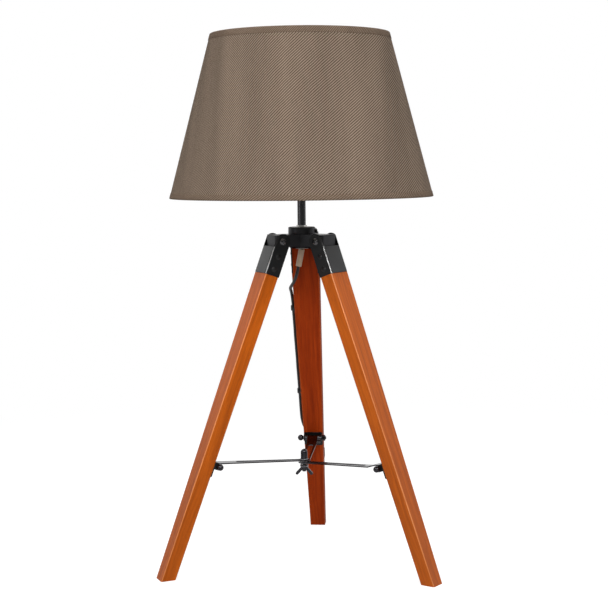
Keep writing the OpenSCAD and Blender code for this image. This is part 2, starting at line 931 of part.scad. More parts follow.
function hank_outline(f, r) =
    let (x = 1 - 8 * (f % 0.5), waist = hank_waist * pow(1 - x * x, 2))
        f < 0.25 ? [r - waist, -x * hank_run / 2]
        : f < 0.5 ? [r * cos(720 * (f - 0.25)), hank_run / 2 + r * sin(720 * (f - 0.25))]
        : f < 0.75 ? [waist - r, x * hank_run / 2]
        : [-r * cos(720 * (f - 0.75)), -hank_run / 2 - r * sin(720 * (f - 0.75))];

function hank_point(s) =
    let (p = hank_outline((s + 0.5) % 1, hank_r - hank_step * wound_in(s)))
        [hank_v + p[0], hank_side - hank_step * layer(s), hank_u + p[1]];

hank = [for (i = [0 : hank_turns * rings_per_loop]) hank_point(i / rings_per_loop)];
lead = concat(LEAD, [leg_to_lamp(RUN[0])]);

function path_length(p) = len(p) < 2 ? 0 : norm(p[len(p) - 1] - p[len(p) - 2])
    + path_length([for (i = [0 : len(p) - 2]) p[i]]);
least_gap = min([
    for (i = [0 : len(hank) - 1], j = [i + rings_per_loop / 2 : len(hank) - 1]) norm(hank[i] - hank[j])
]) - cord_d;
echo(hank_least_gap = least_gap);
echo(
    cord_length = path_length(lead) + path_length(concat(RUN, hank, TAIL)),
    lead = path_length(lead), hank = path_length(hank)
);

module cord_lead() {
    color("#1d1d1e")
        on_axis()
            tube(lead, cord_d, 8, [0, 0, -1], down_leg);
}

module cord_run() {
    color("#1d1d1e")
        on_axis() {
            tube([for (p = concat(RUN, [hank[0]])) leg_to_lamp(p)], cord_d, 8, down_leg, down_leg);
            tube(
                [for (p = concat([hank[len(hank) - 1]], TAIL)) leg_to_lamp(p)],
                cord_d, 8, -down_leg, -down_leg
            );
        }
}

module cord_hank() {
    color("#1d1d1e")
        on_axis()
            tube([for (p = hank) leg_to_lamp(p)], cord_d, 6, down_leg, -down_leg);
}

// Round the cord, with its foot on the leg at the given distance below it
module clip(foot) {
    outer = cord_d + 2 * clip_wall + 0.2;
    difference() {
        union() {
            cylinder(d = outer, h = clip_len, center = true);
            translate([-foot, -outer / 2, -clip_len / 2])
                cube([foot, outer, clip_len]);
            translate([-foot, -outer / 2 - 5, -clip_len / 2])
                cube([1.6, 6, clip_len]);
            translate([-foot + 1.5, -outer / 2 - 2.6, 0])
                rotate([0, 90, 0])
                    button_head(3.4, 1.2);
        }
        cylinder(d = cord_d + 0.3, h = clip_len + 2, center = true);
        // Flat against the leg
        translate([-foot - outer, -outer, -clip_len])
            cube([outer, 2 * outer, 2 * clip_len]);
    }
}

function run_side(u) = lookup(u, [for (p = RUN) [p[2], p[1]]]);

module cord_clips() {
    color("#1d1d1e")
        on_leg(REAR) {
            for (u = clip_u)
                translate([RUN[0][0], run_side(u), u])
                    rotate([0, 0, 90])
                        mirror([0, 1, 0])
                            clip(run_side(u) - leg_w(u + clip_len / 2) / 2 - 0.05);
            translate([TAIL[6][0], TAIL[6][1], tail_clip_u])
                clip(TAIL[6][0] - leg_t / 2 - 0.05);
        }
}

tie_low = leg_t / 2 + pad_t;
tie_high = hank_v + hank_r - hank_waist + cord_d / 2 + 0.5;
tie_mid = hank_side - 1.5 * hank_step;
tie_half = 1.5 * hank_step + cord_d / 2 + 0.5;

module cord_tie() {
    color("#29292b")
        on_leg(REAR)
            translate([(tie_low + tie_high + tie_t) / 2, tie_mid, hank_u - tie_w / 2])
                difference() {
                    linear_extrude(tie_w)
                        difference() {
                            round_rect(tie_high - tie_low + tie_t, 2 * (tie_half + tie_t), 3);
                            round_rect(tie_high - tie_low - tie_t, 2 * tie_half, 1.8);
                        }
                    translate([0, -tie_mid, tie_w / 2])
                        rotate([0, -90, 0])
                            cylinder(d = 3.4, h = hank_r + 10);
                }
}

// A pad on the leg's back, with the screw that holds the tie on it
module tie_mount() {
    color("#29292b")
        on_leg(REAR)
            translate([leg_t / 2, 0, hank_u]) {
                difference() {
                    translate([pad_t / 2, tie_mid / 2, 0])
                        cube([pad_t, 14, tie_w + 2], center = true);
                    rotate([0, 90, 0])
                        translate([0, 0, -1]) cylinder(d = 3.4, h = pad_t + 2);
                }
                translate([pad_t + tie_t, 0, 0])
                    rotate([0, 90, 0])
                        button_head(6, 1.2);
                rotate([0, 90, 0])
                    cylinder(d = 3, h = pad_t + tie_t + 0.3);
            }
}

module plug_body() {
    color("#1d1d1e")
        on_leg(REAR)
            translate([TAIL[6][0], TAIL[6][1], plug_u]) {
                cylinder(d1 = cord_d + 2, d2 = plug_h - 2, h = relief_len);
                translate([0, 0, relief_len])
                    difference() {
                        linear_extrude(plug_len) round_rect(plug_h, plug_w, 4);
                        for (y = [-1, 1])
                            translate([-blade_w / 2, y * blade_apart / 2 - blade_t / 2, plug_len - 8])
                                cube([blade_w, blade_t, 9]);
                    }
            }
}

module plug_pins() {
    color("#c2a968")
        on_leg(REAR)
            translate([TAIL[6][0], TAIL[6][1], plug_u + relief_len + plug_len])
                for (y = [-1, 1])
                    translate([-blade_w / 2, y * blade_apart / 2 - blade_t / 2, -8])
                        cube([blade_w, blade_t, blade_len + 8]);
}

// ---------- the nodes ----------

hub();
stem_tube();
stem_nut();
stem_screw();
cable_bush();
cable_sleeve();
inner_lead();
socket_cap();
socket_shell();
socket_core();
screw_shell();
centre_contact();
fitter_nuts();
bulb_cap();
bulb_globe();
shade_fabric();
shade_liner();
shade_top_hem();
shade_bottom_hem();
shade_top_ring();
shade_frame();
switch_knob();
leg(REAR);  // leg_rear
leg(LEFT);  // leg_left
leg(RIGHT);  // leg_right
bracket(REAR);  // bracket_rear
bracket(LEFT);  // bracket_left
bracket(RIGHT);  // bracket_right
rivets(REAR);  // rivets_rear
rivets(LEFT);  // rivets_left
rivets(RIGHT);  // rivets_right
pivot(REAR, 1);  // pivot_rear
pivot(LEFT, 1);  // pivot_left
pivot(RIGHT, -1);  // pivot_right
saddle(REAR);  // saddle_rear
saddle(LEFT);  // saddle_left
saddle(RIGHT);  // saddle_right
saddle_screws(REAR);  // saddle_screws_rear
saddle_screws(LEFT);  // saddle_screws_left
saddle_screws(RIGHT);  // saddle_screws_right
ball_pin(REAR, 1);  // ball_pin_rear
ball_pin(LEFT, 1);  // ball_pin_left
ball_pin(RIGHT, -1);  // ball_pin_right
arm(REAR, 2);  // arm_rear
arm(LEFT, 0);  // arm_left
arm(RIGHT, 1);  // arm_right
spreader_bolt();
spreader_washers();
wing_nut();
cord_lead();
cord_run();
cord_hank();
cord_clips();
tie_mount();
cord_tie();
plug_body();
plug_pins();
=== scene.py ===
import math

import bmesh
import bpy
from mathutils import Matrix, Vector


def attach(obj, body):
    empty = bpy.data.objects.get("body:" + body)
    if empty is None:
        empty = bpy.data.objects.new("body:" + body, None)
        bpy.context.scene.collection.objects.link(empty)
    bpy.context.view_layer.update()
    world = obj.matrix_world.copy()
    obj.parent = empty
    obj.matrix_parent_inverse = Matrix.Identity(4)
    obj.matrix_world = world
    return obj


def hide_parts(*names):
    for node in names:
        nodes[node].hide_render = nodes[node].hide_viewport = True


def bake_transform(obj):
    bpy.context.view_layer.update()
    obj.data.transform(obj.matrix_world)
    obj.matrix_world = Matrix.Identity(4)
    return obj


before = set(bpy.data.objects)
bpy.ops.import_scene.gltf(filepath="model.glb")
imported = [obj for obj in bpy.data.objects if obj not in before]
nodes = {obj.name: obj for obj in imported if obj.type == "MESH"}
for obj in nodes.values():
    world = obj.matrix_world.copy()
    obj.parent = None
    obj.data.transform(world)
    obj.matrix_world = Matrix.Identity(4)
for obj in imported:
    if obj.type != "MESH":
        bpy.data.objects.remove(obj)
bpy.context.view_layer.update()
link = bpy.context.scene.collection.objects.link


# ---- Camera ----
# A medium telephoto lens on a stand, 1.8 m in front of the lamp at the height
# of the shade's lower edge, looking slightly down and from a little right.
photo_lens = bpy.data.cameras.new("photo_camera")
photo_lens.sensor_width = 36
photo_lens.lens = 84.27
photo_camera = bpy.data.objects.new("photo_camera", photo_lens)
camera_at, camera_turn, camera_dip, camera_roll = (0.18273, -1.7927, 0.50972), 5.8133, 5.7271, -0.6
photo_camera.matrix_world = (
    Matrix.Translation(camera_at)
    @ Matrix.Rotation(math.radians(camera_turn), 4, "Z")
    @ Matrix.Rotation(math.radians(90 - camera_dip), 4, "X")
    @ Matrix.Rotation(math.radians(camera_roll), 4, "Z")
)
link(photo_camera)
bpy.context.scene.camera = photo_camera


# ---- Mains cord ----
# Round two-core cord in soft black vinyl, 4 mm thick. It leaves the hub's
# underside, is clipped down the rear leg's side, and its spare length is
# folded into a hank that hangs behind that leg.
MM = 0.001
LAMP_Y = -16.2025 * MM
PIVOT_R, PIVOT_Z, FOOT_R = 33 * MM, 411 * MM, 188 * MM
TILT = math.atan((FOOT_R - PIVOT_R) / PIVOT_Z)
cord_d = 4 * MM
LEAD = [
    (0, 0, 404), (0, 0, 401), (-1.5, 0.3, 393), (-3.2, 0.6, 385), (-4.9, 1, 377), (-7, 3.5, 369),
    (-10, 9.5, 361.5), (-13.5, 18, 355.5), (-16.6, 27.5, 351.5), (-19, 37.5, 348.5), (-20.3, 47, 345.5),
    (-20.4, 55, 342), (-20.2, 61.5, 337),
]
RUN = [
    (3.2, 19.7, -92), (3.2, 19.5, -104), (3.2, 19.2, -116), (3.2, 18.9, -128),
    (3.2, 18.8, -140), (3.2, 18.5, -152), (3.2, 18.2, -164), (3.2, 17.9, -176), (3.2, 17.8, -188),
    (3.2, 17.5, -200), (3.2, 17.2, -212), (3.2, 17, -224), (3.2, 16.7, -236), (3.4, 16.6, -248),
    (4.5, 16.5, -260), (7, 16.3, -271), (10.2, 15.2, -281), (11.8, 12.5, -291), (11.8, 10.2, -302),
]
TAIL = [
    (47, -5.4, -307), (44, -5, -297), (36, -4, -287), (26, -2.5, -279), (18.6, -1.2, -270),
    (16.4, -0.6, -260), (16.3, -0.5, -250),
]
# The hank, in mm and turns: its straight runs, how far each turn lies inside the last, its
# outer radius, its turns, how many are wound before the winding turns back, how long that
# takes, and how far its waist is drawn in. It lies on a pad on the back of the leg.
hank_run, hank_step, hank_r = 68, 4.6, 18.9
hank_turns, hank_reverse, hank_shift, hank_waist = 5.75, 1.5, 0.125, 4.5
hank_u, hank_side, rings_per_loop = -349, 8.4, 24
leg_half_t, pad_t = 8.8, 1.2
hank_v = leg_half_t + pad_t + cord_d / MM / 2 + hank_r


def rear_leg_point(v, t, u):
    """Out from the rear leg's middle, to its left and up from its hinge, in mm."""
    return Vector((
        -t * MM,
        LAMP_Y + PIVOT_R + (v * math.cos(TILT) - u * math.sin(TILT)) * MM,
        PIVOT_Z + (u * math.cos(TILT) + v * math.sin(TILT)) * MM,
    ))


def hank_point(s):
    """Where the cord is after s turns of the hank, in the rear leg's frame."""
    k = math.floor((s - hank_shift) / hank_reverse)
    part = s - hank_shift - k * hank_reverse
    wound = s - hank_shift if k < 0 else part if k % 2 == 0 else hank_reverse - part
    near = round((s - hank_shift) / hank_reverse)
    off = s - hank_shift - near * hank_reverse
    layer = 0 if near < 1 else near - 1 + min(1, max(0, off / (2 * hank_shift) + 0.5))
    f = (s + 0.5) % 1
    r = hank_r - hank_step * wound
    x = 1 - 8 * (f % 0.5)
    waist = hank_waist * (1 - x * x) ** 2
    bend = math.radians(720 * (f % 0.25))
    if f < 0.25:
        v, u = r - waist, -x * hank_run / 2
    elif f < 0.5:
        v, u = r * math.cos(bend), hank_run / 2 + r * math.sin(bend)
    elif f < 0.75:
        v, u = waist - r, x * hank_run / 2
    else:
        v, u = -r * math.cos(bend), -hank_run / 2 - r * math.sin(bend)
    return hank_v + v, hank_side - hank_step * layer, hank_u + u


route = [Vector((x * MM, LAMP_Y + y * MM, z * MM)) for x, y, z in LEAD]
hank = [hank_point(i / rings_per_loop) for i in range(int(hank_turns * rings_per_loop) + 1)]
route += [rear_leg_point(*p) for p in RUN + hank + TAIL]


def node(tree, kind, inputs=None, **settings):
    """Adds one node; inputs maps socket names or numbers to values or to sockets that feed them."""
    made = tree.nodes.new(kind)
    for name, value in settings.items():
        setattr(made, name, value)
    for name, value in (inputs or {}).items():
        if isinstance(value, bpy.types.NodeSocket):
            tree.links.new(value, made.inputs[name])
        else:
            made.inputs[name].default_value = value
    return made


def new_piece(name, mesh):
    piece = bpy.data.objects.new(name, mesh)
    link(piece)
    return piece


def realised(source):
    """The plain mesh that an object's modifiers make of it."""
    bpy.context.view_layer.update()
    evaluated = source.evaluated_get(bpy.context.evaluated_depsgraph_get())
    return bpy.data.meshes.new_from_object(evaluated)


def grown(source, tree, name, **values):
    """The plain mesh that a geometry tree makes from an object, with its named inputs set."""
    modifier = source.modifiers.new(tree.name, "NODES")
    modifier.node_group = tree
    for item in tree.interface.items_tree:
        key = item.name.lower().replace(" ", "_")
        if item.item_type == "SOCKET" and item.in_out == "INPUT" and key in values:
            modifier[item.identifier] = values[key]
    mesh = realised(source)
    source.modifiers.remove(modifier)
    return new_piece(name, mesh)


def geometry_tree(name, **inputs):
    """An empty geometry tree with a geometry input and named inputs: (socket kind, default)."""
    tree = bpy.data.node_groups.new(name, "GeometryNodeTree")
    tree.interface.new_socket("Geometry", in_out="INPUT", socket_type="NodeSocketGeometry")
    for label, (kind, value) in inputs.items():
        socket = tree.interface.new_socket(
            label.replace("_", " ").capitalize(), in_out="INPUT", socket_type="NodeSocket" + kind
        )
        if value is not None:
            socket.default_value = value
    tree.interface.new_socket("Geometry", in_out="OUTPUT", socket_type="NodeSocketGeometry")
    return tree, tree.nodes.new("NodeGroupInput"), tree.nodes.new("NodeGroupOutput")


def close_tree(tree, given, made, shape):
    """Ends a tree in real geometry that wears the finish it is given."""
    whole = node(tree, "GeometryNodeRealizeInstances", {0: shape})
    coated = node(
        tree, "GeometryNodeSetMaterial", {"Geometry": whole.outputs[0], "Material": given.outputs["Finish"]}
    )
    tree.links.new(coated.outputs[0], made.inputs[0])


def drop(*objects):
    for o in objects:
        bpy.data.objects.remove(o)


def linear(code):
    """A sRGB hex colour such as #b5632f as the linear RGBA that shaders take."""
    parts = [int(code[i : i + 2], 16) / 255 for i in (1, 3, 5)]
    return [c / 12.92 if c <= 0.04045 else ((c + 0.055) / 1.055) ** 2.4 for c in parts] + [1.0]


def new_material(name, **shader):
    """A material with one Principled shader, its sockets set by name."""
    material = bpy.data.materials.new(name)
    material.use_nodes = True
    tree = material.node_tree
    principled = tree.nodes["Principled BSDF"]
    for socket, value in shader.items():
        principled.inputs[socket.replace("_", " ").title().replace("Ior", "IOR")].default_value = value
    return material, tree, principled


def textured(name, color, grains, tones=None, rough=None, relief=None, run=None, **shader):
    """A material varied by noise, each grain a (scale, detail): the first grain varies its
    tones and roughness, the last raises its relief (strength, depth). run is how each
    axis is stretched, where the surface was drawn or rolled."""
    material, tree, principled = new_material(name, base_color=linear(color), **shader)
    place = node(tree, "ShaderNodeTexCoord").outputs["Object"]
    if run:
        place = node(tree, "ShaderNodeMapping", {"Vector": place, "Scale": run}).outputs[0]
    noises = [
        node(tree, "ShaderNodeTexNoise", {"Vector": place, "Scale": scale, "Detail": detail}).outputs["Fac"]
        for scale, detail in grains
    ]
    if tones:
        pair = {0: noises[0], 6: linear(tones[0]), 7: linear(tones[1])}
        tone = node(tree, "ShaderNodeMix", pair, data_type="RGBA")
        tree.links.new(tone.outputs[2], principled.inputs["Base Color"])
    if rough:
        gloss = node(tree, "ShaderNodeMapRange", {0: noises[0], 3: rough[0], 4: rough[1]})
        tree.links.new(gloss.outputs[0], principled.inputs["Roughness"])
    if relief:
        raised = {"Height": noises[-1], "Strength": relief[0], "Distance": relief[1]}
        bump = node(tree, "ShaderNodeBump", raised)
        tree.links.new(bump.outputs["Normal"], principled.inputs["Normal"])
    return material


# Soft PVC, extruded: a dull gloss and a skin faintly uneven in tone and height.
soft_pvc = textured(
    "soft_pvc_extruded_black", "#1b1a1a", [(900, 3)], tones=("#161516", "#2a2828"),
    relief=(0.25, 0.2 * MM), roughness=0.42, ior=1.53,
)

# The sheath follows the route as one smooth tube.
tree, given, made = geometry_tree(
    "cord_sheath", diameter=("Float", cord_d), ring_spacing=("Float", 2 * MM), finish=("Material", None)
)
smooth_line = node(
    tree, "GeometryNodeCurveSplineType", {"Curve": given.outputs["Geometry"]}, spline_type="CATMULL_ROM"
)
finer = node(tree, "GeometryNodeSetSplineResolution", {0: smooth_line.outputs[0], "Resolution": 5})
rings = node(
    tree, "GeometryNodeResampleCurve",
    {"Curve": finer.outputs[0], "Length": given.outputs["Ring spacing"]}, mode="LENGTH",
)
half = node(tree, "ShaderNodeMath", {0: given.outputs["Diameter"], 1: 0.5}, operation="MULTIPLY")
profile = node(tree, "GeometryNodeCurvePrimitiveCircle", {"Resolution": 12, "Radius": half.outputs[0]})
skin = node(
    tree, "GeometryNodeCurveToMesh",
    {"Curve": rings.outputs[0], "Profile Curve": profile.outputs[0], "Fill Caps": True},
)
soft = node(tree, "GeometryNodeSetShadeSmooth", {0: skin.outputs[0]})
close_tree(tree, given, made, soft.outputs[0])

line = bpy.data.curves.new("cord_line", "CURVE")
line.dimensions = "3D"
spline = line.splines.new("POLY")
spline.points.add(len(route) - 1)
for point, at in zip(spline.points, route):
    point.co = (*at, 1)
cord_line = new_piece("cord_line", line)
mains_cord = grown(cord_line, tree, "mains_cord", finish=soft_pvc)
drop(cord_line)
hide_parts("cord_lead", "cord_run", "cord_hank")
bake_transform(mains_cord)


# ---- Plug ----
# Two-pin mains plug moulded in black vinyl on the cord's end, with a ribbed
# strain relief and waisted finger grips. Its brass blades stay the CAD ones.
plug_v, plug_t, plug_u = 16.3, -0.5, -250
moulded_pvc = textured(
    "soft_pvc_moulded_black", "#1c1b1b", [(140, 4)], tones=("#171616", "#242222"), roughness=0.5, ior=1.53
)
tree = moulded_pvc.node_tree
place = node(tree, "ShaderNodeTexCoord").outputs["Object"]
spark = node(tree, "ShaderNodeTexVoronoi", {"Vector": place, "Scale": 2600})
relief = node(
    tree, "ShaderNodeBump",
    {"Height": spark.outputs["Distance"], "Strength": 0.35, "Distance": 0.15 * MM},
)
tree.links.new(relief.outputs["Normal"], tree.nodes["Principled BSDF"].inputs["Normal"])


def smooth_but(mesh, corner):
    """Shades a mesh smooth, but for edges that turn by more than so many degrees."""
    mesh.polygons.foreach_set("use_smooth", [True] * len(mesh.polygons))
    mesh.set_sharp_from_angle(angle=math.radians(corner))


def shaped(name, bm, material=None, corner=40):
    """The piece that a finished bmesh makes."""
    mesh = bpy.data.meshes.new(name)
    bm.to_mesh(mesh)
    bm.free()
    if material:
        mesh.materials.append(material)
    smooth_but(mesh, corner)
    return new_piece(name, mesh)


def add_skin(bm, sections):
    """A closed skin through rings of points, one list of points per section."""
    rings = [[bm.verts.new(p) for p in section] for section in sections]
    for low, high in zip(rings, rings[1:]):
        for i in range(len(low)):
            n = (i + 1) % len(low)
            bm.faces.new((low[i], low[n], high[n], high[i]))
    bm.faces.new(rings[0][::-1])
    bm.faces.new(rings[-1])


def loft(name, sections, material):
    """One closed skin as a piece, its faces outwards."""
    bm = bmesh.new()
    add_skin(bm, sections)
    bmesh.ops.recalc_face_normals(bm, faces=bm.faces)
    return shaped(name, bm, material)


def squircle(half_v, half_t, u, power, around=48):
    """A ring of points round the plug's axis at height u, squarer as power grows."""
    points = []
    for i in range(around):
        a = 2 * math.pi * i / around
        c, s = math.cos(a), math.sin(a)
        points.append(rear_leg_point(
            plug_v + half_v * math.copysign(abs(c) ** (2 / power), c),
            plug_t + half_t * math.copysign(abs(s) ** (2 / power), s),
            u,
        ))
    return points


# The strain relief, ribbed and growing squarer, from where the cord enters.
relief_len, relief_ribs, relief_steps, rib_depth = 13.7, 5, 40, 0.55
plug_sections = [squircle(2.1, 2.1, plug_u + 0.1, 2), squircle(2.9, 2.9, plug_u + 0.3, 2)]
for i in range(1, relief_steps + 1):
    h = i / relief_steps
    rib = rib_depth * max(0.0, math.sin(h * relief_ribs * 2 * math.pi - math.pi / 2)) * (1 - h * 0.4)
    half = 3 + 2.4 * h - rib
    plug_sections.append(squircle(half, half, plug_u + 0.3 + relief_len * h, 2 + h))
# The body: (height above the strain relief, half its thickness, half its width).
body_u = plug_u + 14
for u, half_v, half_t in (
    (0.4, 6.2, 9.6), (1.6, 6.9, 10.7), (4, 6.9, 10.9), (9, 6.5, 9.9), (14, 6.4, 9.7), (19, 6.6, 10.2),
    (23, 6.9, 10.9), (25, 6.9, 10.9), (25.7, 6.6, 10.5), (26, 6.1, 9.9),
):
    plug_sections.append(squircle(half_v, half_t, body_u + u, 4.5))
plug = loft("mains_plug", plug_sections, moulded_pvc)
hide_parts("plug_body")
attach(plug, "leg_rear")

# Stamped and tumbled brass for the blades and the screw shell: warm, with fine
# scratches along the rolling direction.
brass = textured(
    "rolled_brass", "#c9a45c", [(1, 2)], rough=(0.2, 0.42), run=(3000, 3000, 160),
    metallic=1.0, roughness=0.28,
)


def finish_node(name, material):
    """Gives a CAD node its real finish."""
    for part in nodes[name].material_slots:
        part.material = material


finish_node("plug_pins", brass)


# ---- Cord clips, pad and tie ----
# Nail-in nylon clips hold the cord to the leg; a screwed pad and a nylon strap
# hold the hank. All are injection moulded in black nylon with a fine matt skin.
nylon = textured(
    "moulded_nylon_black", "#1d1d1f", [(1500, 3)], rough=(0.38, 0.6), relief=(0.3, 0.2 * MM),
    roughness=0.48, ior=1.53,
)


def eased(node_name, width, material, body, segments=2):
    """A copy of a CAD node with its sharp edges eased, which then stands for it."""
    corner = 32
    bm = bmesh.new()
    bm.from_mesh(nodes[node_name].data)
    bmesh.ops.remove_doubles(bm, verts=bm.verts, dist=1e-6)
    bmesh.ops.dissolve_limit(
        bm, angle_limit=math.radians(0.6), verts=bm.verts, edges=bm.edges, use_dissolve_boundaries=False
    )
    for face in bm.faces:
        face.material_index = 0
    piece = shaped(node_name + "_eased", bm, material, corner)
    bevel = piece.modifiers.new("ease", "BEVEL")
    bevel.width = width
    bevel.segments = segments
    bevel.limit_method = "ANGLE"
    bevel.angle_limit = math.radians(corner)
    bevel.harden_normals = True
    piece.data = realised(piece)
    piece.modifiers.clear()
    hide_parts(node_name)
    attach(piece, body)
    return piece


eased("cord_clips", 0.25 * MM, nylon, "leg_rear")
hank_strap = eased("cord_tie", 0.25 * MM, nylon, "leg_rear")
strap_pad = eased("tie_mount", 0.25 * MM, nylon, "leg_rear")


# ---- Hub ----
# Die-cast zinc hub with three lugs for the legs, coated in a dark gunmetal
# lacquer: smooth, with a little orange peel and a tone that drifts in patches.
gunmetal = textured(
    "gunmetal_lacquer_on_zinc", "#2e2e31", [(60, 4), (700, 2)], tones=("#29292c", "#414144"),
    rough=(0.26, 0.42), relief=(0.2, 0.2 * MM), metallic=0.6, roughness=0.32,
)
eased("hub", 0.5 * MM, gunmetal, "base")


# ---- Stem and its nut ----
# Drawn steel tube plated in gunmetal grey; a bright nickel toothed washer and
# thin hexagon nut lock it to the hub, and a set screw holds it from the side.
gunmetal_plate = textured(
    "gunmetal_plate_on_tube", "#545356", [(1, 2)], rough=(0.16, 0.34), run=(1800, 1800, 40),
    metallic=1.0, roughness=0.24,
)
eased("stem_tube", 0.2 * MM, gunmetal_plate, "base")
bright_nickel = textured(
    "bright_nickel_plate", "#d9d8d4", [(400, 3)], rough=(0.1, 0.26), metallic=1.0, roughness=0.16
)
eased("stem_nut", 0.2 * MM, bright_nickel, "base")


# ---- Cord entry ----
# A natural nylon bush lines the hole under the hub, and a short cut length of
# clear vinyl sleeving protects the cord where it bends away.
natural_nylon = textured(
    "natural_nylon", "#e2dfd6", [(900, 3)], relief=(0.25, 0.2 * MM), roughness=0.45, ior=1.53,
    subsurface_weight=0.1, subsurface_radius=(2 * MM, 2 * MM, 1.5 * MM),
)
eased("cable_bush", 0.2 * MM, natural_nylon, "base")

clear_pvc = textured(
    "clear_pvc_sleeving", "#d3ccbd", [(300, 3)], tones=("#e6cfae", "#ffefd8"), relief=(0.4, 0.6 * MM),
    roughness=0.3, ior=1.53, transmission_weight=0.2,
)
eased("cable_sleeve", 0.2 * MM, clear_pvc, "base")
finish_node("inner_lead", soft_pvc)


# ---- Lampholder ----
# Three-part holder in black phenolic with a glazed porcelain core, brass screw
# shell and centre contact. Its shell is threaded outside for the ring nuts.
phenolic = textured(
    "moulded_phenolic_black", "#161516", [(1200, 3)], rough=(0.22, 0.42), relief=(0.15, 0.2 * MM),
    roughness=0.3, ior=1.6,
)
eased("socket_cap", 0.5 * MM, phenolic, "base")

thread_pitch = 2.5 * MM
threaded_phenolic = phenolic.copy()
threaded_phenolic.name = "threaded_phenolic_black"
tree = threaded_phenolic.node_tree
place = node(tree, "ShaderNodeTexCoord").outputs["Object"]
height = node(tree, "ShaderNodeSeparateXYZ", {0: place})
turns = node(
    tree, "ShaderNodeMath", {0: height.outputs["Z"], 1: 2 * math.pi / thread_pitch}, operation="MULTIPLY"
)
crest = node(tree, "ShaderNodeMath", {0: turns.outputs[0]}, operation="SINE")
relief = node(
    tree, "ShaderNodeBump", {"Height": crest.outputs[0], "Strength": 0.8, "Distance": 0.6 * MM}
)
tree.links.new(relief.outputs["Normal"], tree.nodes["Principled BSDF"].inputs["Normal"])
eased("socket_shell", 0.3 * MM, threaded_phenolic, "base")

porcelain = textured(
    "glazed_porcelain", "#e6e0d2", [(500, 3)], relief=(0.2, 0.3 * MM), roughness=0.14, ior=1.5,
    coat_weight=0.5,
)
eased("socket_core", 0.5 * MM, porcelain, "base")
finish_node("screw_shell", brass)
finish_node("centre_contact", brass)


# ---- Ring nuts ----
# Two phenolic rings screw on the holder's shell and clamp the shade's plate
# between them. Their rims are ribbed all round for the fingers.
nut_r, nut_bore, nut_h, nut_chamfer = 24 * MM, 18.15 * MM, 5 * MM, 0.4 * MM
rib_r, rib_count = 0.9 * MM, 36
rim_r = nut_r - rib_r
plate_z = (515 * MM, 516.5 * MM)


def lathe(name, profile, steps, material=None, corner=35, axis_y=LAMP_Y):
    """A skin turned round an upright axis through (radius, height) points."""
    bm = bmesh.new()
    rings = []
    for i in range(steps):
        a = 2 * math.pi * i / steps
        rings.append([bm.verts.new((r * math.cos(a), axis_y + r * math.sin(a), z)) for r, z in profile])
    for near, far in zip(rings, rings[1:] + rings[:1]):
        for k in range(len(profile) - 1):
            bm.faces.new((near[k], far[k], far[k + 1], near[k + 1]))
    bmesh.ops.remove_doubles(bm, verts=bm.verts, dist=1e-7)
    bmesh.ops.recalc_face_normals(bm, faces=bm.faces)
    return shaped(name, bm, material, corner)


tree, given, made = geometry_tree(
    "ring_nut_ribs", rim_radius=("Float", rim_r), height=("Float", nut_h), count=("Int", rib_count),
    finish=("Material", None),
)
ribs_at = node(
    tree, "GeometryNodeMeshCircle",
    {"Vertices": given.outputs["Count"], "Radius": given.outputs["Rim radius"]},
)
rib_h = node(tree, "ShaderNodeMath", {0: given.outputs["Height"], 1: 0.8}, operation="MULTIPLY")
rib = node(
    tree, "GeometryNodeMeshCylinder", {"Vertices": 8, "Radius": rib_r, "Depth": rib_h.outputs[0]}
)
spread_out = node(
    tree, "GeometryNodeInstanceOnPoints", {"Points": ribs_at.outputs[0], "Instance": rib.outputs[0]}
)
both = node(tree, "GeometryNodeJoinGeometry")
for z in (plate_z[0] - nut_h / 2, plate_z[1] + nut_h / 2):
    moved = node(
        tree, "GeometryNodeTransform", {"Geometry": spread_out.outputs[0], "Translation": (0, LAMP_Y, z)}
    )
    tree.links.new(moved.outputs[0], both.inputs[0])
tree.links.new(given.outputs["Geometry"], both.inputs[0])
close_tree(tree, given, made, both.outputs[0])
turned = []
for low in (plate_z[0] - nut_h, plate_z[1]):
    high = low + nut_h
    profile = [
        (nut_bore, low), (rim_r - nut_chamfer, low), (rim_r, low + nut_chamfer),
        (rim_r, high - nut_chamfer), (rim_r - nut_chamfer, high), (nut_bore, high), (nut_bore, low),
    ]
    turned.append(lathe("ring", profile, 72, phenolic))
bare = turned[0]
with bpy.context.temp_override(active_object=bare, selected_editable_objects=turned):
    bpy.ops.object.join()
ring_nuts = grown(bare, tree, "shade_ring_nuts", finish=phenolic)
drop(bare)
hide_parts("fitter_nuts")
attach(ring_nuts, "base")


# ---- Switch knob ----
# Turn-key knob in the same phenolic, its round foot running into a flat grip.
eased("switch_knob", 0.9 * MM, phenolic, "switch", segments=3)


# ---- Bulb ----
# Pear-shaped glass envelope, etched inside so that it looks milky, cemented in
# a rolled aluminium screw cap.
etched_glass = textured(
    "etched_white_glass", "#f3f1ea", [(45, 3)], rough=(0.16, 0.3), roughness=0.22, ior=1.5,
    subsurface_weight=0.25, transmission_weight=0.2,
)
finish_node("bulb_globe", etched_glass)

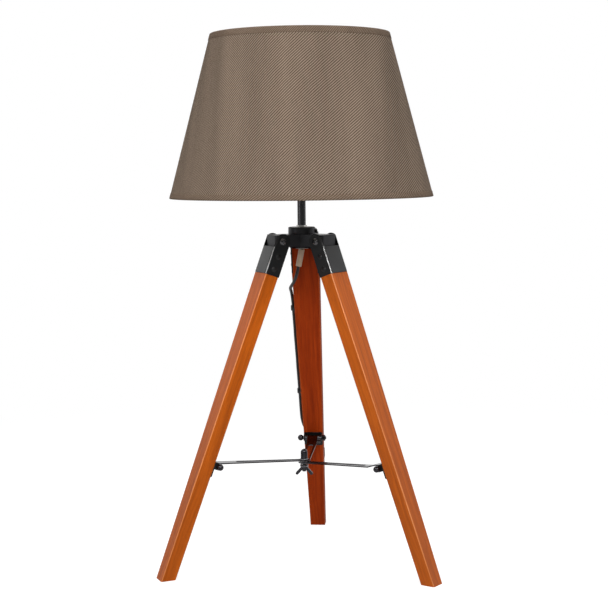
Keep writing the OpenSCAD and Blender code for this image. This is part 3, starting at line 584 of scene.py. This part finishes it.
rolled_aluminium = textured(
    "rolled_aluminium", "#c9cacc", [(1, 3)], rough=(0.2, 0.42), run=(200, 200, 2600),
    metallic=1.0, roughness=0.3,
)
cap_z, cap_r, cap_h, cap_pitch, cap_groove = 513.4 * MM, 13 * MM, 25 * MM, 3.6 * MM, 0.9 * MM
cap_steps, cap_around = 60, 48
sections = []
for k in range(cap_steps + 1):
    z = cap_h * k / cap_steps
    edge = min(1.0, z / (3 * MM), (cap_h - z) / (2 * MM))
    section = []
    for i in range(cap_around):
        a = 2 * math.pi * i / cap_around
        groove = 0.5 + 0.5 * math.cos(2 * math.pi * (z / cap_pitch) - a)
        r = cap_r - 0.05 * MM - (1 - edge) * 1.2 * MM - edge * cap_groove * groove
        section.append((r * math.cos(a), LAMP_Y + r * math.sin(a), cap_z + z))
    sections.append(section)
bulb_cap = loft("bulb_screw_cap", sections, rolled_aluminium)
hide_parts("bulb_cap")
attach(bulb_cap, "base")


# ---- Shade ----
# Brown-grey twill in linen yarn, laminated to white styrene film, cut as one
# arc and glued in a lap at the back. Yarns are 0.9 mm apart, drawn that coarse
# so that the twill's slanting ribs still show.
shade_z, shade_h, shade_top_r, shade_bottom_r = 465 * MM, 202 * MM, 111.5 * MM, 165 * MM
hem_t, fabric_t, liner_t, shade_lip = 0.4 * MM, 0.8 * MM, 0.5 * MM, 0.5 * MM
shade_slope = (shade_bottom_r - shade_top_r) / shade_h
yarn = 0.9

twill, tree, shader = new_material(
    "linen_twill_brown_grey", base_color=linear("#75665a"), roughness=0.92, specular_ior_level=0.15
)
cut = node(tree, "ShaderNodeUVMap", uv_map="UVMap").outputs[0]
drift = node(tree, "ShaderNodeTexNoise", {"Vector": cut, "Scale": 0.05, "Detail": 2})
sway = node(
    tree, "ShaderNodeVectorMath", {0: drift.outputs["Color"], 1: (1.4, 1.4, 0)}, operation="MULTIPLY"
)
laid = node(tree, "ShaderNodeVectorMath", {0: cut, 1: sway.outputs[0]}, operation="ADD")
count = node(
    tree, "ShaderNodeVectorMath", {0: laid.outputs[0], 1: (1 / yarn, 1 / yarn, 0)}, operation="MULTIPLY"
)
axes = node(tree, "ShaderNodeSeparateXYZ", {0: count.outputs[0]})


def wave(across, turns):
    """sin(pi * turns * across), as nodes."""
    angle = node(tree, "ShaderNodeMath", {0: across, 1: math.pi * turns}, operation="MULTIPLY")
    return node(tree, "ShaderNodeMath", {0: angle.outputs[0]}, operation="SINE").outputs[0]


warp = node(tree, "ShaderNodeMath", {0: wave(axes.outputs["X"], 1)}, operation="ABSOLUTE")
weft = node(tree, "ShaderNodeMath", {0: wave(axes.outputs["Y"], 1)}, operation="ABSOLUTE")
slant = node(tree, "ShaderNodeMath", {0: axes.outputs["X"], 1: axes.outputs["Y"]}, operation="SUBTRACT")
over = node(
    tree, "ShaderNodeMapRange", {0: wave(slant.outputs[0], 0.5), 1: -0.35, 2: 0.35},
    interpolation_type="SMOOTHSTEP",
)
yarn_top = node(
    tree, "ShaderNodeMix", {0: over.outputs[0], 2: weft.outputs[0], 3: warp.outputs[0]}
)
dyed = []
for fibre_run, tones in (
    ((0.09, 1.3, 1), ("#544638", "#766555")),
    ((1.3, 0.09, 1), ("#938070", "#c0aa96")),
):
    fibres = node(tree, "ShaderNodeMapping", {"Vector": cut, "Scale": fibre_run})
    slub = node(tree, "ShaderNodeTexNoise", {"Vector": fibres.outputs[0], "Scale": 1, "Detail": 3})
    pair = {0: slub.outputs["Fac"], 6: linear(tones[0]), 7: linear(tones[1])}
    dyed.append(node(tree, "ShaderNodeMix", pair, data_type="RGBA").outputs[2])
yarns = node(tree, "ShaderNodeMix", {0: over.outputs[0], 6: dyed[0], 7: dyed[1]}, data_type="RGBA")
depth = node(tree, "ShaderNodeMapRange", {0: yarn_top.outputs[0], 3: 0.5, 4: 1.12})
shaded = node(
    tree, "ShaderNodeMix", {0: 1.0, 6: yarns.outputs[2], 7: depth.outputs[0]}, data_type="RGBA",
    blend_type="MULTIPLY",
)
bands = node(tree, "ShaderNodeMapping", {"Vector": cut, "Scale": (0.028, 0.003, 1)})
band = node(tree, "ShaderNodeTexNoise", {"Vector": bands.outputs[0], "Scale": 1, "Detail": 3})
tint = node(tree, "ShaderNodeMapRange", {0: band.outputs["Fac"], 1: 0.25, 2: 0.75, 3: 0.84, 4: 1.16})
cloth = node(
    tree, "ShaderNodeMix", {0: 1.0, 6: shaded.outputs[2], 7: tint.outputs[0]}, data_type="RGBA",
    blend_type="MULTIPLY",
)
relief = node(
    tree, "ShaderNodeBump", {"Height": yarn_top.outputs[0], "Strength": 0.7, "Distance": 0.4 * MM}
)
tree.links.new(cloth.outputs[2], shader.inputs["Base Color"])
tree.links.new(relief.outputs["Normal"], shader.inputs["Normal"])

# One grid rolled into the cone: x runs round from the back seam, y runs up. The
# cloth's own flat position, in millimetres, is kept as its UV.
lap = math.radians(3)
slant_len = math.hypot(shade_h, shade_bottom_r - shade_top_r)
apex = shade_bottom_r * slant_len / (shade_bottom_r - shade_top_r)
tree, given, made = geometry_tree(
    "rolled_cone", bottom_radius=("Float", 0.1), top_radius=("Float", 0.1), bottom=("Float", 0.0),
    height=("Float", 0.1), lap_angle=("Float", lap), lap_rise=("Float", 0.0), apex=("Float", apex),
    arc_share=("Float", 1.0), finish=("Material", None),
)


def around(reach, turn):
    """How far east and north a point lies at this turn and reach, as nodes."""
    sides = []
    for operation in ("SINE", "COSINE"):
        part = node(tree, "ShaderNodeMath", {0: turn}, operation=operation).outputs[0]
        sides.append(node(tree, "ShaderNodeMath", {0: reach, 1: part}, operation="MULTIPLY").outputs[0])
    return sides


sheet_grid = node(tree, "GeometryNodeMeshGrid", {"Vertices X": 241, "Vertices Y": 25})
spot = node(tree, "GeometryNodeInputPosition").outputs[0]
from_corner = node(tree, "ShaderNodeVectorMath", {0: spot, 1: (0.5, 0.5, 0)}, operation="ADD")
flat = node(tree, "ShaderNodeSeparateXYZ", {0: from_corner.outputs[0]})
share, rise = flat.outputs["X"], flat.outputs["Y"]
full = node(tree, "ShaderNodeMath", {0: given.outputs["Lap angle"], 1: 2 * math.pi}, operation="ADD")
turn = node(tree, "ShaderNodeMath", {0: full.outputs[0], 1: share}, operation="MULTIPLY").outputs[0]
lifted = node(
    tree, "ShaderNodeMapRange", {0: share, 1: 0.985, 2: 1.0, 3: 0.0, 4: given.outputs["Lap rise"]},
    interpolation_type="SMOOTHSTEP",
)
cone = node(
    tree, "ShaderNodeMix", {0: rise, 2: given.outputs["Bottom radius"], 3: given.outputs["Top radius"]}
)
radius = node(tree, "ShaderNodeMath", {0: cone.outputs[0], 1: lifted.outputs[0]}, operation="ADD")
east, north = around(radius.outputs[0], turn)
behind = node(tree, "ShaderNodeMath", {0: north, 1: LAMP_Y}, operation="ADD")
up = node(
    tree, "ShaderNodeMath", {0: rise, 1: given.outputs["Height"], 2: given.outputs["Bottom"]},
    operation="MULTIPLY_ADD",
)
rolled = node(tree, "ShaderNodeCombineXYZ", {0: east, 1: behind.outputs[0], 2: up.outputs[0]})
half_turn = node(tree, "ShaderNodeMath", {0: turn, 1: math.pi}, operation="SUBTRACT")
flat_turn = node(
    tree, "ShaderNodeMath", {0: half_turn.outputs[0], 1: given.outputs["Arc share"]}, operation="MULTIPLY"
)
reach = node(
    tree, "ShaderNodeMath", {0: rise, 1: -slant_len, 2: given.outputs["Apex"]}, operation="MULTIPLY_ADD"
)
reach_mm = node(tree, "ShaderNodeMath", {0: reach.outputs[0], 1: 1000}, operation="MULTIPLY")
flat_east, flat_north = around(reach_mm.outputs[0], flat_turn.outputs[0])
flat_place = node(tree, "ShaderNodeCombineXYZ", {0: flat_east, 1: flat_north})
uv_kept = node(
    tree, "GeometryNodeStoreNamedAttribute",
    {"Geometry": sheet_grid.outputs["Mesh"], "Name": "UVMap", "Value": flat_place.outputs[0]},
    data_type="FLOAT2", domain="CORNER",
)
placed = node(
    tree, "GeometryNodeSetPosition", {"Geometry": uv_kept.outputs[0], "Position": rolled.outputs[0]}
)
soft = node(tree, "GeometryNodeSetShadeSmooth", {0: placed.outputs[0]})
close_tree(tree, given, made, soft.outputs[0])
rolled_cone = tree


def cone_skin(name, inset, thickness, rise, material):
    """A rolled sheet whose outer face lies this far inside the shade's outer surface."""
    low, high = shade_lip, shade_h - shade_lip
    blank = new_piece("blank", bpy.data.meshes.new("blank"))
    piece = grown(
        blank, rolled_cone, name, bottom_radius=shade_bottom_r - low * shade_slope - inset,
        top_radius=shade_bottom_r - high * shade_slope - inset, bottom=shade_z + low,
        height=high - low, lap_rise=rise, arc_share=shade_bottom_r / apex, finish=material,
    )
    drop(blank)
    wall = piece.modifiers.new("thickness", "SOLIDIFY")
    wall.thickness = thickness
    wall.offset = 1
    piece.data = realised(piece)
    piece.modifiers.clear()
    return piece


shade_cloth = cone_skin("shade_cloth", hem_t + 0.05 * MM, fabric_t, 0.3 * MM, twill)
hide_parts("shade_fabric")
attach(shade_cloth, "base")

styrene = textured(
    "white_styrene_film", "#ece8df", [(30, 5)], tones=("#e2dccf", "#f3f0e9"), relief=(0.15, 1 * MM),
    roughness=0.5, ior=1.55,
)
liner = cone_skin("shade_liner_film", hem_t + fabric_t + 0.1 * MM, liner_t, 0, styrene)
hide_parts("shade_liner")
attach(liner, "base")


# ---- Hems ----
# A bias strip of the same cloth, pressed flatter and browner, is glued over each
# edge and folded round the wire: a soft rounded rim, with a faint step outside.
hem_cloth = twill.copy()
hem_cloth.name = "linen_twill_bias_tape"
tree = hem_cloth.node_tree
dye = tree.nodes["Principled BSDF"].inputs["Base Color"]
woven = dye.links[0].from_socket
pressed = node(tree, "ShaderNodeMix", {0: 0.35, 6: woven, 7: linear("#735e4c")}, data_type="RGBA")
tree.links.new(pressed.outputs[2], dye)
hem_curl, hem_clear, hem_steps = 0.9 * MM, 0.35 * MM, 6
hem_round, hem_tuck = 2.2 * MM, 4.5 * MM


def hem(name, node_name, rim, far):
    """The strip's section from its outer edge round the rim to its inner edge, turned."""
    def outside(z, inset=0.0):
        return (shade_bottom_r - (z - shade_z) * shade_slope - inset, z)

    way = 1 if far > rim else -1
    inner = hem_t + fabric_t + liner_t + hem_clear
    half = inner / 2
    profile = [
        outside(far, hem_t), outside(far - way * 0.15 * MM, 0.12 * MM),
        outside(far - way * 0.5 * MM, 0.02 * MM), outside(rim + way * hem_round),
    ]
    for i in range(1, hem_steps):
        a = math.pi * i / hem_steps
        profile.append(outside(rim + way * hem_curl * (1 - math.sin(a)), half - half * math.cos(a)))
    profile += [
        outside(rim + way * hem_round, inner), outside(rim + way * hem_tuck, inner),
        outside(rim + way * (hem_tuck + 0.1 * MM), inner - hem_t),
    ]
    piece = lathe(name, profile, 192, hem_cloth, corner=80)
    uv = piece.data.uv_layers.new(name="UVMap")
    for loop in piece.data.loops:
        x, y, z = piece.data.vertices[loop.vertex_index].co
        a = math.atan2(x, LAMP_Y - y)
        spread = math.hypot(x, y - LAMP_Y)
        uv.data[loop.index].uv = (a * shade_bottom_r / MM * 0.9, (z - spread) / MM)
    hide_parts(node_name)
    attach(piece, "base")
    return piece


top_hem = hem("top_hem", "shade_top_hem", shade_z + shade_h, shade_z + shade_h - 8 * MM)
bottom_hem = hem("bottom_hem", "shade_bottom_hem", shade_z, shade_z + 7 * MM)


# ---- Shade wires ----
# Drawn steel wire, spot-welded and powder-coated white: a plain ring at the top
# edge, and the bottom ring with its spokes and the fitter plate.
powder_white = textured(
    "powder_coated_wire_white", "#e9e7e1", [(70, 3), (1100, 3)], tones=("#dcd9d1", "#f2f0ea"),
    relief=(0.3, 0.2 * MM), roughness=0.42, ior=1.5,
)
finish_node("shade_top_ring", powder_white)
finish_node("shade_frame", powder_white)


# ---- Legs ----
# Straight-grained hardwood stained orange-brown, tapered to the foot, with all
# long edges eased and a thin satin varnish over them. The grain runs along each
# leg, its streaks drawn 4 mm apart, and the colour is painted lighter toward the top: painted light.
legs = {"rear": 90, "left": 210, "right": 330}


def leg_turn(az):
    """Turns the lamp's directions into those of the leg at this azimuth."""
    return Matrix.Rotation(TILT, 3, "Y") @ Matrix.Rotation(math.radians(-az), 3, "Z")


def leg_wood(name, az, deep, mid, pale, varnish):
    """Stained and varnished hardwood whose grain follows the leg at this azimuth."""
    material, tree, shader = new_material(
        name, base_color=linear(mid), roughness=0.42, ior=1.5, specular_ior_level=varnish
    )
    place = node(tree, "ShaderNodeTexCoord").outputs["Object"]
    straight = node(tree, "ShaderNodeMapping", {"Vector": place, "Rotation": leg_turn(az).to_euler()})
    waver = node(tree, "ShaderNodeTexNoise", {"Vector": straight.outputs[0], "Scale": 9, "Detail": 2})
    sway = node(
        tree, "ShaderNodeVectorMath", {0: waver.outputs["Color"], 1: (0.012, 0.012, 0)},
        operation="MULTIPLY",
    )
    grain = node(tree, "ShaderNodeVectorMath", {0: straight.outputs[0], 1: sway.outputs[0]}, operation="ADD")
    broad = node(tree, "ShaderNodeMapping", {"Vector": grain.outputs[0], "Scale": (230, 230, 5)})
    streaks = node(
        tree, "ShaderNodeTexNoise", {"Vector": broad.outputs[0], "Scale": 1, "Detail": 4, "Roughness": 0.6}
    )
    fine = node(tree, "ShaderNodeMapping", {"Vector": grain.outputs[0], "Scale": (1500, 1500, 30)})
    pores = node(tree, "ShaderNodeTexNoise", {"Vector": fine.outputs[0], "Scale": 1, "Detail": 2})
    stain = node(tree, "ShaderNodeValToRGB", {"Fac": streaks.outputs["Fac"]})
    ramp = stain.color_ramp
    ramp.elements[0].position, ramp.elements[0].color = 0.3, linear(deep)
    ramp.elements[1].position, ramp.elements[1].color = 0.72, linear(pale)
    middle = ramp.elements.new(0.5)
    middle.color = linear(mid)
    dark = node(tree, "ShaderNodeMapRange", {0: pores.outputs["Fac"], 1: 0.3, 2: 0.6, 3: 0.88, 4: 1.04})
    # Painted light: the colour grows lighter higher up the leg.
    high = node(tree, "ShaderNodeSeparateXYZ", {0: place}).outputs["Z"]
    painted_light_higher = node(tree, "ShaderNodeMapRange", {0: high, 1: 0.08, 2: 0.38, 3: 0.98, 4: 1.28})
    tint = node(tree, "ShaderNodeMath", {0: dark.outputs[0], 1: painted_light_higher.outputs[0]}, operation="MULTIPLY")
    wood = node(
        tree, "ShaderNodeMix", {0: 1.0, 6: stain.outputs["Color"], 7: tint.outputs[0]},
        data_type="RGBA", blend_type="MULTIPLY",
    )
    gloss = node(tree, "ShaderNodeMapRange", {0: pores.outputs["Fac"], 3: 0.5, 4: 0.34})
    relief = node(
        tree, "ShaderNodeBump", {"Height": pores.outputs["Fac"], "Strength": 0.25, "Distance": 0.2 * MM}
    )
    tree.links.new(wood.outputs[2], shader.inputs["Base Color"])
    tree.links.new(gloss.outputs[0], shader.inputs["Roughness"])
    tree.links.new(relief.outputs["Normal"], shader.inputs["Normal"])
    return material


# The rear leg is painted darker and redder than the other two: painted shade.
# The faces along every leg's long edges are painted lighter: a painted highlight.
side_legs_stain = ("#a64d0a", "#b8570c", "#c86212")
side_legs_edge_highlight = ("#c66c2c", "#d87d3c", "#e68f50", 0.5)
stains_with_rear_shade = {
    "rear": ("#92300a", "#a63a0d", "#b84612", 0.08), "left": (*side_legs_stain, 0.18),
    "right": (*side_legs_stain, 0.25),
}
edge_highlight_tones = {"rear": ("#9c400f", "#ad4b14", "#bd561a", 0.2), "left": side_legs_edge_highlight, "right": side_legs_edge_highlight}


def finish_corners(piece, az, finish, within):
    """Another finish on the faces that slant between a leg's sides, within so many degrees of halfway."""
    piece.data.materials.append(finish)
    for face in piece.data.polygons:
        out, along, up = leg_turn(az) @ face.normal
        slant = math.degrees(math.atan2(abs(along), abs(out)))
        if abs(up) < 0.3 and abs(slant - 45) < within:
            face.material_index = len(piece.data.materials) - 1


for side, az in legs.items():
    wood = leg_wood("stained_hardwood_" + side, az, *stains_with_rear_shade[side])
    # Lighter wood for the faces along the long edges: a painted highlight.
    edge_highlight_wood = leg_wood("stained_hardwood_sanded_" + side, az, *edge_highlight_tones[side])
    leg = eased("leg_" + side, 0.5 * MM, wood, "leg_" + side)
    finish_corners(leg, az, edge_highlight_wood, 30)


# ---- Leg brackets and saddles ----
# Pressed mild steel, 1.6 mm thick, e-coated black: a channel that folds round
# each leg's top, and a small plate with two ears on the leg's inner face. The
# bends are painted lighter, a painted highlight.
ecoat = textured(
    "ecoated_pressed_steel", "#131314", [(55, 5), (1100, 3)], tones=("#0f0f10", "#191a1b"),
    rough=(0.26, 0.44), relief=(0.2, 0.2 * MM), roughness=0.34, ior=1.5, specular_ior_level=0.4,
)

# The bends' painted highlight runs below the lugs' height; above it they stay black.
bend_highlight_steel = textured(
    "ecoat_rubbed_thin_at_bends", "#d4d4d4", [(350, 4)], tones=("#a8a8a8", "#efefef"),
    metallic=0.3, roughness=0.3,
)
tree = bend_highlight_steel.node_tree
bare = tree.nodes["Principled BSDF"].inputs["Base Color"]
highlight_tone = bare.links[0].from_socket
place = node(tree, "ShaderNodeTexCoord").outputs["Object"]
high = node(tree, "ShaderNodeSeparateXYZ", {0: place}).outputs["Z"]
highlight_below_lugs = node(tree, "ShaderNodeMapRange", {0: high, 1: 404.5 * MM, 2: 406 * MM, 3: 1.0, 4: 0.0})
bend = node(tree, "ShaderNodeMix", {0: highlight_below_lugs.outputs[0], 6: linear("#131314"), 7: highlight_tone}, data_type="RGBA")
tree.links.new(bend.outputs[2], bare)
for side in legs:
    bracket = eased("bracket_" + side, 0.35 * MM, ecoat, "leg_" + side)
    # The bend faces get the painted highlight.
    finish_corners(bracket, legs[side], bend_highlight_steel, 12)
    eased("saddle_" + side, 0.25 * MM, ecoat, "leg_" + side)


# ---- Screws and rivets ----
# Cold-headed steel. The screws are in dark nickel with cross recesses; the
# rivets are plain domes, blackened. One head is made, and the tree sets it at
# each place.
dark_nickel = textured(
    "dark_nickel_plate", "#5c5b5d", [(600, 3)], tones=("#4a494b", "#757475"), rough=(0.16, 0.34),
    metallic=1.0, roughness=0.2,
)
black_oxide = textured(
    "black_oxide_on_steel", "#232324", [(800, 3)], rough=(0.3, 0.5), metallic=0.35, roughness=0.38
)
finish_node("stem_screw", black_oxide)


def domed_head(name, width, height, recess):
    """A domed head standing on z = 0, with a cross recess if wanted."""
    corner, dome_steps = 38, 8
    ball = (width * width / 4 + height * height) / (2 * height)
    profile = [(0.0, height)]
    for i in range(1, dome_steps):
        r = width / 2 * i / dome_steps
        profile.append((r, height - ball + math.sqrt(ball * ball - r * r)))
    profile += [(width / 2, 0.12 * height), (width / 2 - 0.04 * width, 0.0), (0.0, 0.0)]
    head = lathe(name, profile, 32, corner=corner, axis_y=0)
    if recess:
        bm = bmesh.new()
        for turn in (0, 90):
            arm = bmesh.ops.create_cube(bm, size=1.0)["verts"]
            bmesh.ops.scale(bm, verts=arm, vec=(width * 0.52, width * 0.13, height * 0.9))
            bmesh.ops.rotate(bm, verts=arm, matrix=Matrix.Rotation(math.radians(turn), 3, "Z"))
            bmesh.ops.translate(bm, verts=arm, vec=(0, 0, height * 0.95))
        cutter = shaped("cutter", bm)
        cut = head.modifiers.new("recess", "BOOLEAN")
        cut.object = cutter
        cut.use_self = True
        head.data = realised(head)
        head.modifiers.clear()
        drop(cutter)
        smooth_but(head.data, corner)
    return head


# The points carry the way each head faces; the tree stands a head on each.
tree, given, made = geometry_tree("heads_on_points", head=("Object", None), finish=("Material", None))
shape = node(tree, "GeometryNodeObjectInfo", {"Object": given.outputs["Head"]})
facing = node(tree, "GeometryNodeInputNamedAttribute", {"Name": "facing"}, data_type="FLOAT_VECTOR")
turned = node(
    tree, "FunctionNodeAlignRotationToVector", {"Vector": facing.outputs["Attribute"]}, axis="Z"
)
stood = node(
    tree, "GeometryNodeInstanceOnPoints",
    {"Points": given.outputs["Geometry"], "Instance": shape.outputs["Geometry"],
     "Rotation": turned.outputs["Rotation"]},
)
close_tree(tree, given, made, stood.outputs[0])
heads_on_points = tree


def leg_matrix(az):
    """From a leg's own frame (out, along the hinge, up the leg) to the lamp's."""
    return (
        Matrix.Translation((0, LAMP_Y, 0)) @ Matrix.Rotation(math.radians(az), 4, "Z")
        @ Matrix.Translation((PIVOT_R, 0, PIVOT_Z)) @ Matrix.Rotation(-TILT, 4, "Y")
    )


def heads_at(name, head, places, material):
    """One mesh of heads; places are (point, direction) in metres."""
    mesh = bpy.data.meshes.new("places")
    mesh.from_pydata([p for p, way in places], [], [])
    facing = mesh.attributes.new("facing", "FLOAT_VECTOR", "POINT")
    for item, (p, way) in zip(facing.data, places):
        item.vector = way
    points = new_piece("places", mesh)
    piece = grown(points, heads_on_points, name, head=head, finish=material)
    drop(points)
    return piece


lug_w, seat_gap, bracket_wall = 31.4 * MM, 0.3 * MM, 1.6 * MM
bracket_half = lug_w / 2 + seat_gap + bracket_wall
# Up from the hinge to the rivets and to the saddle's screws, and where these stand on its plate.
rivet_us, saddle_u = (-20 * MM, -36 * MM), -298.174 * MM
saddle_v, saddle_ts = -(leg_half_t + 1.2) * MM, (-6.5 * MM, 6.5 * MM)
pivot_head = domed_head("pivot_head", 8.9 * MM, 3 * MM, True)
rivet_head = domed_head("rivet_head", 7 * MM, 1.6 * MM, False)
small_head = domed_head("small_head", 6 * MM, 1.8 * MM, True)
for side, az in legs.items():
    m = leg_matrix(az)
    way = m.to_3x3() @ Vector((0, 1, 0))
    inward = m.to_3x3() @ Vector((-1, 0, 0))
    rivet_places = []
    for u in rivet_us:
        for s in (-1, 1):
            rivet_places.append((m @ Vector((0, s * bracket_half, u)), s * way))
    rivets = heads_at("rivet_heads_" + side, rivet_head, rivet_places, black_oxide)
    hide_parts("rivets_" + side)
    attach(rivets, "leg_" + side)
    saddle_places = [(m @ Vector((saddle_v, t, saddle_u)), inward) for t in saddle_ts]
    heads = heads_at("saddle_screw_heads_" + side, small_head, saddle_places, dark_nickel)
    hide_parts("saddle_screws_" + side)
    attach(heads, "leg_" + side)


# ---- Hinge screws ----
# A cross-recessed screw through each bracket and lug, with a thin hexagon nut
# on its far end and the last of its thread showing.
def hexagon_nut(name, across_corners, height, thread_r, past):
    """A chamfered nut standing on z = 0 with a screw's end coming through it."""
    bm = bmesh.new()
    corner, flat_edge, chamfer = across_corners / 2, 0.93 * across_corners / 2, 0.35 * MM
    hexagon = [(math.cos(math.radians(60 * i)), math.sin(math.radians(60 * i))) for i in range(6)]
    add_skin(bm, [
        [(r * c, r * s, z) for c, s in hexagon]
        for r, z in ((corner, 0.0), (corner, height - chamfer), (flat_edge, height))
    ])
    pitch, thread_depth, thread_steps, thread_around = 0.8 * MM, 0.3 * MM, 12, 24
    thread = []
    for k in range(thread_steps + 1):
        z = height - 0.2 * MM + (past + 0.2 * MM) * k / thread_steps
        ring = []
        for i in range(thread_around):
            a = 2 * math.pi * i / thread_around
            r = thread_r - thread_depth * (0.5 + 0.5 * math.cos(2 * math.pi * z / pitch - a))
            r -= 0.4 * MM * max(0.0, (k - 9) / 3)
            ring.append((r * math.cos(a), r * math.sin(a), z))
        thread.append(ring)
    add_skin(bm, thread)
    return shaped(name, bm, corner=30)


def joined(name, *pieces):
    """Several meshes of one body as one piece."""
    bm = bmesh.new()
    for piece in pieces:
        bm.from_mesh(piece.data)
    mesh = bpy.data.meshes.new(name)
    bm.to_mesh(mesh)
    bm.free()
    mesh.materials.append(pieces[0].data.materials[0])
    drop(*pieces)
    return new_piece(name, mesh)


hinge_nut = hexagon_nut("hinge_nut", 9 * MM, 3.6 * MM, 2.5 * MM, 0.9 * MM)
screw_side = {"rear": 1, "left": 1, "right": -1}
for side, az in legs.items():
    m = leg_matrix(az)
    way = m.to_3x3() @ Vector((0, screw_side[side], 0))
    at = Vector((0, screw_side[side] * bracket_half, 0))
    both = []
    for head, point, facing in ((pivot_head, at, way), (hinge_nut, -at, -way)):
        both.append(heads_at("end", head, [(m @ point, facing)], dark_nickel))
    hinge = joined("hinge_screw_" + side, *both)
    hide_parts("pivot_" + side)
    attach(hinge, "leg_" + side)
drop(rivet_head, small_head, pivot_head, hinge_nut)


# ---- Spreader ----
# Three slotted steel strips, each rolled round a cross pin with a turned ball
# end, and stacked on a domed bolt under a wing nut. All are in polished black
# nickel, with plain zinc washers between them.
black_nickel = textured(
    "polished_black_nickel", "#4b494c", [(90, 4)], tones=("#39383b", "#5d5b5e"), rough=(0.08, 0.24),
    metallic=1.0, roughness=0.14,
)
for side in legs:
    eased("arm_" + side, 0.2 * MM, black_nickel, "arm_" + side)

# The turned and cast parts are polished further and plated darker.
black_chrome = textured(
    "black_chrome_plate", "#302f31", [(260, 4)], tones=("#2a292b", "#545256"), rough=(0.07, 0.2),
    metallic=1.0, roughness=0.12,
)
for side in legs:
    eased("ball_pin_" + side, 0.2 * MM, black_chrome, "leg_" + side)
eased("spreader_bolt", 0.25 * MM, black_chrome, "spreader_bolt")
eased("wing_nut", 0.7 * MM, black_chrome, "wing_nut", segments=3)

zinc, tree, shader = new_material(
    "zinc_plated_steel", base_color=linear("#b4b5b8"), metallic=1.0, roughness=0.35
)
place = node(tree, "ShaderNodeTexCoord").outputs["Object"]
spangle = node(tree, "ShaderNodeTexVoronoi", {"Vector": place, "Scale": 900})
rough = node(tree, "ShaderNodeMapRange", {0: spangle.outputs["Distance"], 3: 0.25, 4: 0.45})
tree.links.new(rough.outputs[0], shader.inputs["Roughness"])
eased("spreader_washers", 0.12 * MM, zinc, "spreader_bolt", segments=1)


# ---- Floor ----
# A smooth white table top under the lamp. It keeps the lamp's shadow close by
# and runs out to plain white further off.
white_paper, tree, shader = new_material("white_paper_sweep")
tree.nodes.remove(shader)
ray = node(tree, "ShaderNodeLightPath").outputs
mirrored = node(tree, "ShaderNodeMath", {0: ray["Is Glossy Ray"], 1: 0.3}, operation="MULTIPLY")
direct = node(
    tree, "ShaderNodeMath", {0: ray["Is Camera Ray"], 1: ray["Is Transmission Ray"]}, operation="MAXIMUM"
)
seen = node(tree, "ShaderNodeMath", {0: direct.outputs[0], 1: mirrored.outputs[0]}, operation="MAXIMUM")
sheet_white = node(tree, "ShaderNodeBsdfDiffuse", {"Color": linear("#b4b4b4")})
lift = node(tree, "ShaderNodeMath", {0: seen.outputs[0], 1: 0.78}, operation="MULTIPLY")
glow = node(tree, "ShaderNodeEmission", {"Color": (1, 1, 1, 1), "Strength": lift.outputs[0]})
near_white = node(tree, "ShaderNodeAddShader", {0: sheet_white.outputs[0], 1: glow.outputs[0]})
far_glow = node(tree, "ShaderNodeEmission", {"Color": (1, 1, 1, 1), "Strength": seen.outputs[0]})
place = node(tree, "ShaderNodeTexCoord").outputs["Object"]
away = node(tree, "ShaderNodeVectorMath", {0: place}, operation="LENGTH")
fade = node(
    tree, "ShaderNodeMapRange", {0: away.outputs["Value"], 1: 0.55, 2: 1.2}, interpolation_type="SMOOTHSTEP"
)
floor_shader = node(
    tree, "ShaderNodeMixShader", {0: fade.outputs[0], 1: near_white.outputs[0], 2: far_glow.outputs[0]}
)
tree.links.new(floor_shader.outputs[0], tree.nodes["Material Output"].inputs["Surface"])
bm = bmesh.new()
bmesh.ops.create_grid(bm, x_segments=8, y_segments=8, size=8)
white_floor = shaped("white_floor", bm, white_paper)


# ---- Studio ----
# A white room behind the lamp and a dimmer one in front of it, which gives the
# metal its dark side, with large soft boxes and a low strip at the left.
studio = bpy.data.worlds.new("studio")
bpy.context.scene.world = studio
studio.use_nodes = True
tree = studio.node_tree
ray = node(tree, "ShaderNodeLightPath").outputs
way = node(tree, "ShaderNodeSeparateXYZ", {0: node(tree, "ShaderNodeTexCoord").outputs["Generated"]})
backed = node(
    tree, "ShaderNodeMapRange", {0: way.outputs["Y"], 1: -0.35, 2: 0.25, 3: 0.12, 4: 1.0},
    interpolation_type="SMOOTHSTEP",
)
room = node(tree, "ShaderNodeMix", {0: ray["Is Glossy Ray"], 2: 0.32, 3: backed.outputs[0]})
plain = node(
    tree, "ShaderNodeMath", {0: ray["Is Camera Ray"], 1: ray["Is Transmission Ray"]}, operation="MAXIMUM"
)
level = node(tree, "ShaderNodeMix", {0: plain.outputs[0], 2: room.outputs[0], 3: 1.0})
tree.links.new(level.outputs[0], tree.nodes["Background"].inputs["Strength"])
tree.nodes["Background"].inputs["Color"].default_value = (1, 1, 1, 1)


def soft_box(name, size, power, at, aim):
    """A square area lamp at one point, facing another."""
    lamp = bpy.data.lights.new(name, "AREA")
    lamp.size = size
    lamp.energy = power
    box = bpy.data.objects.new(name, lamp)
    link(box)
    turn = (Vector(aim) - Vector(at)).to_track_quat("-Z", "Y")
    box.matrix_world = Matrix.Translation(at) @ turn.to_matrix().to_4x4()


soft_box("key_box", 1.1, 21, (-1.2, -1.8, 2.0), (0, 0, 0.4))
soft_box("fill_box", 1.1, 26, (1.4, -1.8, 1.9), (0, 0, 0.35))
soft_box("front_box", 0.8, 16, (0.1, -2.4, 1.5), (0, 0, 0.4))
soft_box("top_box", 1.5, 9, (0.2, 0.5, 2.4), (0, 0, 0.3))
soft_box("strip_box", 0.3, 1, (-1.2, -1.1, 0.3), (0, 0, 0.42))

bpy.context.scene.view_settings.view_transform = "Standard"
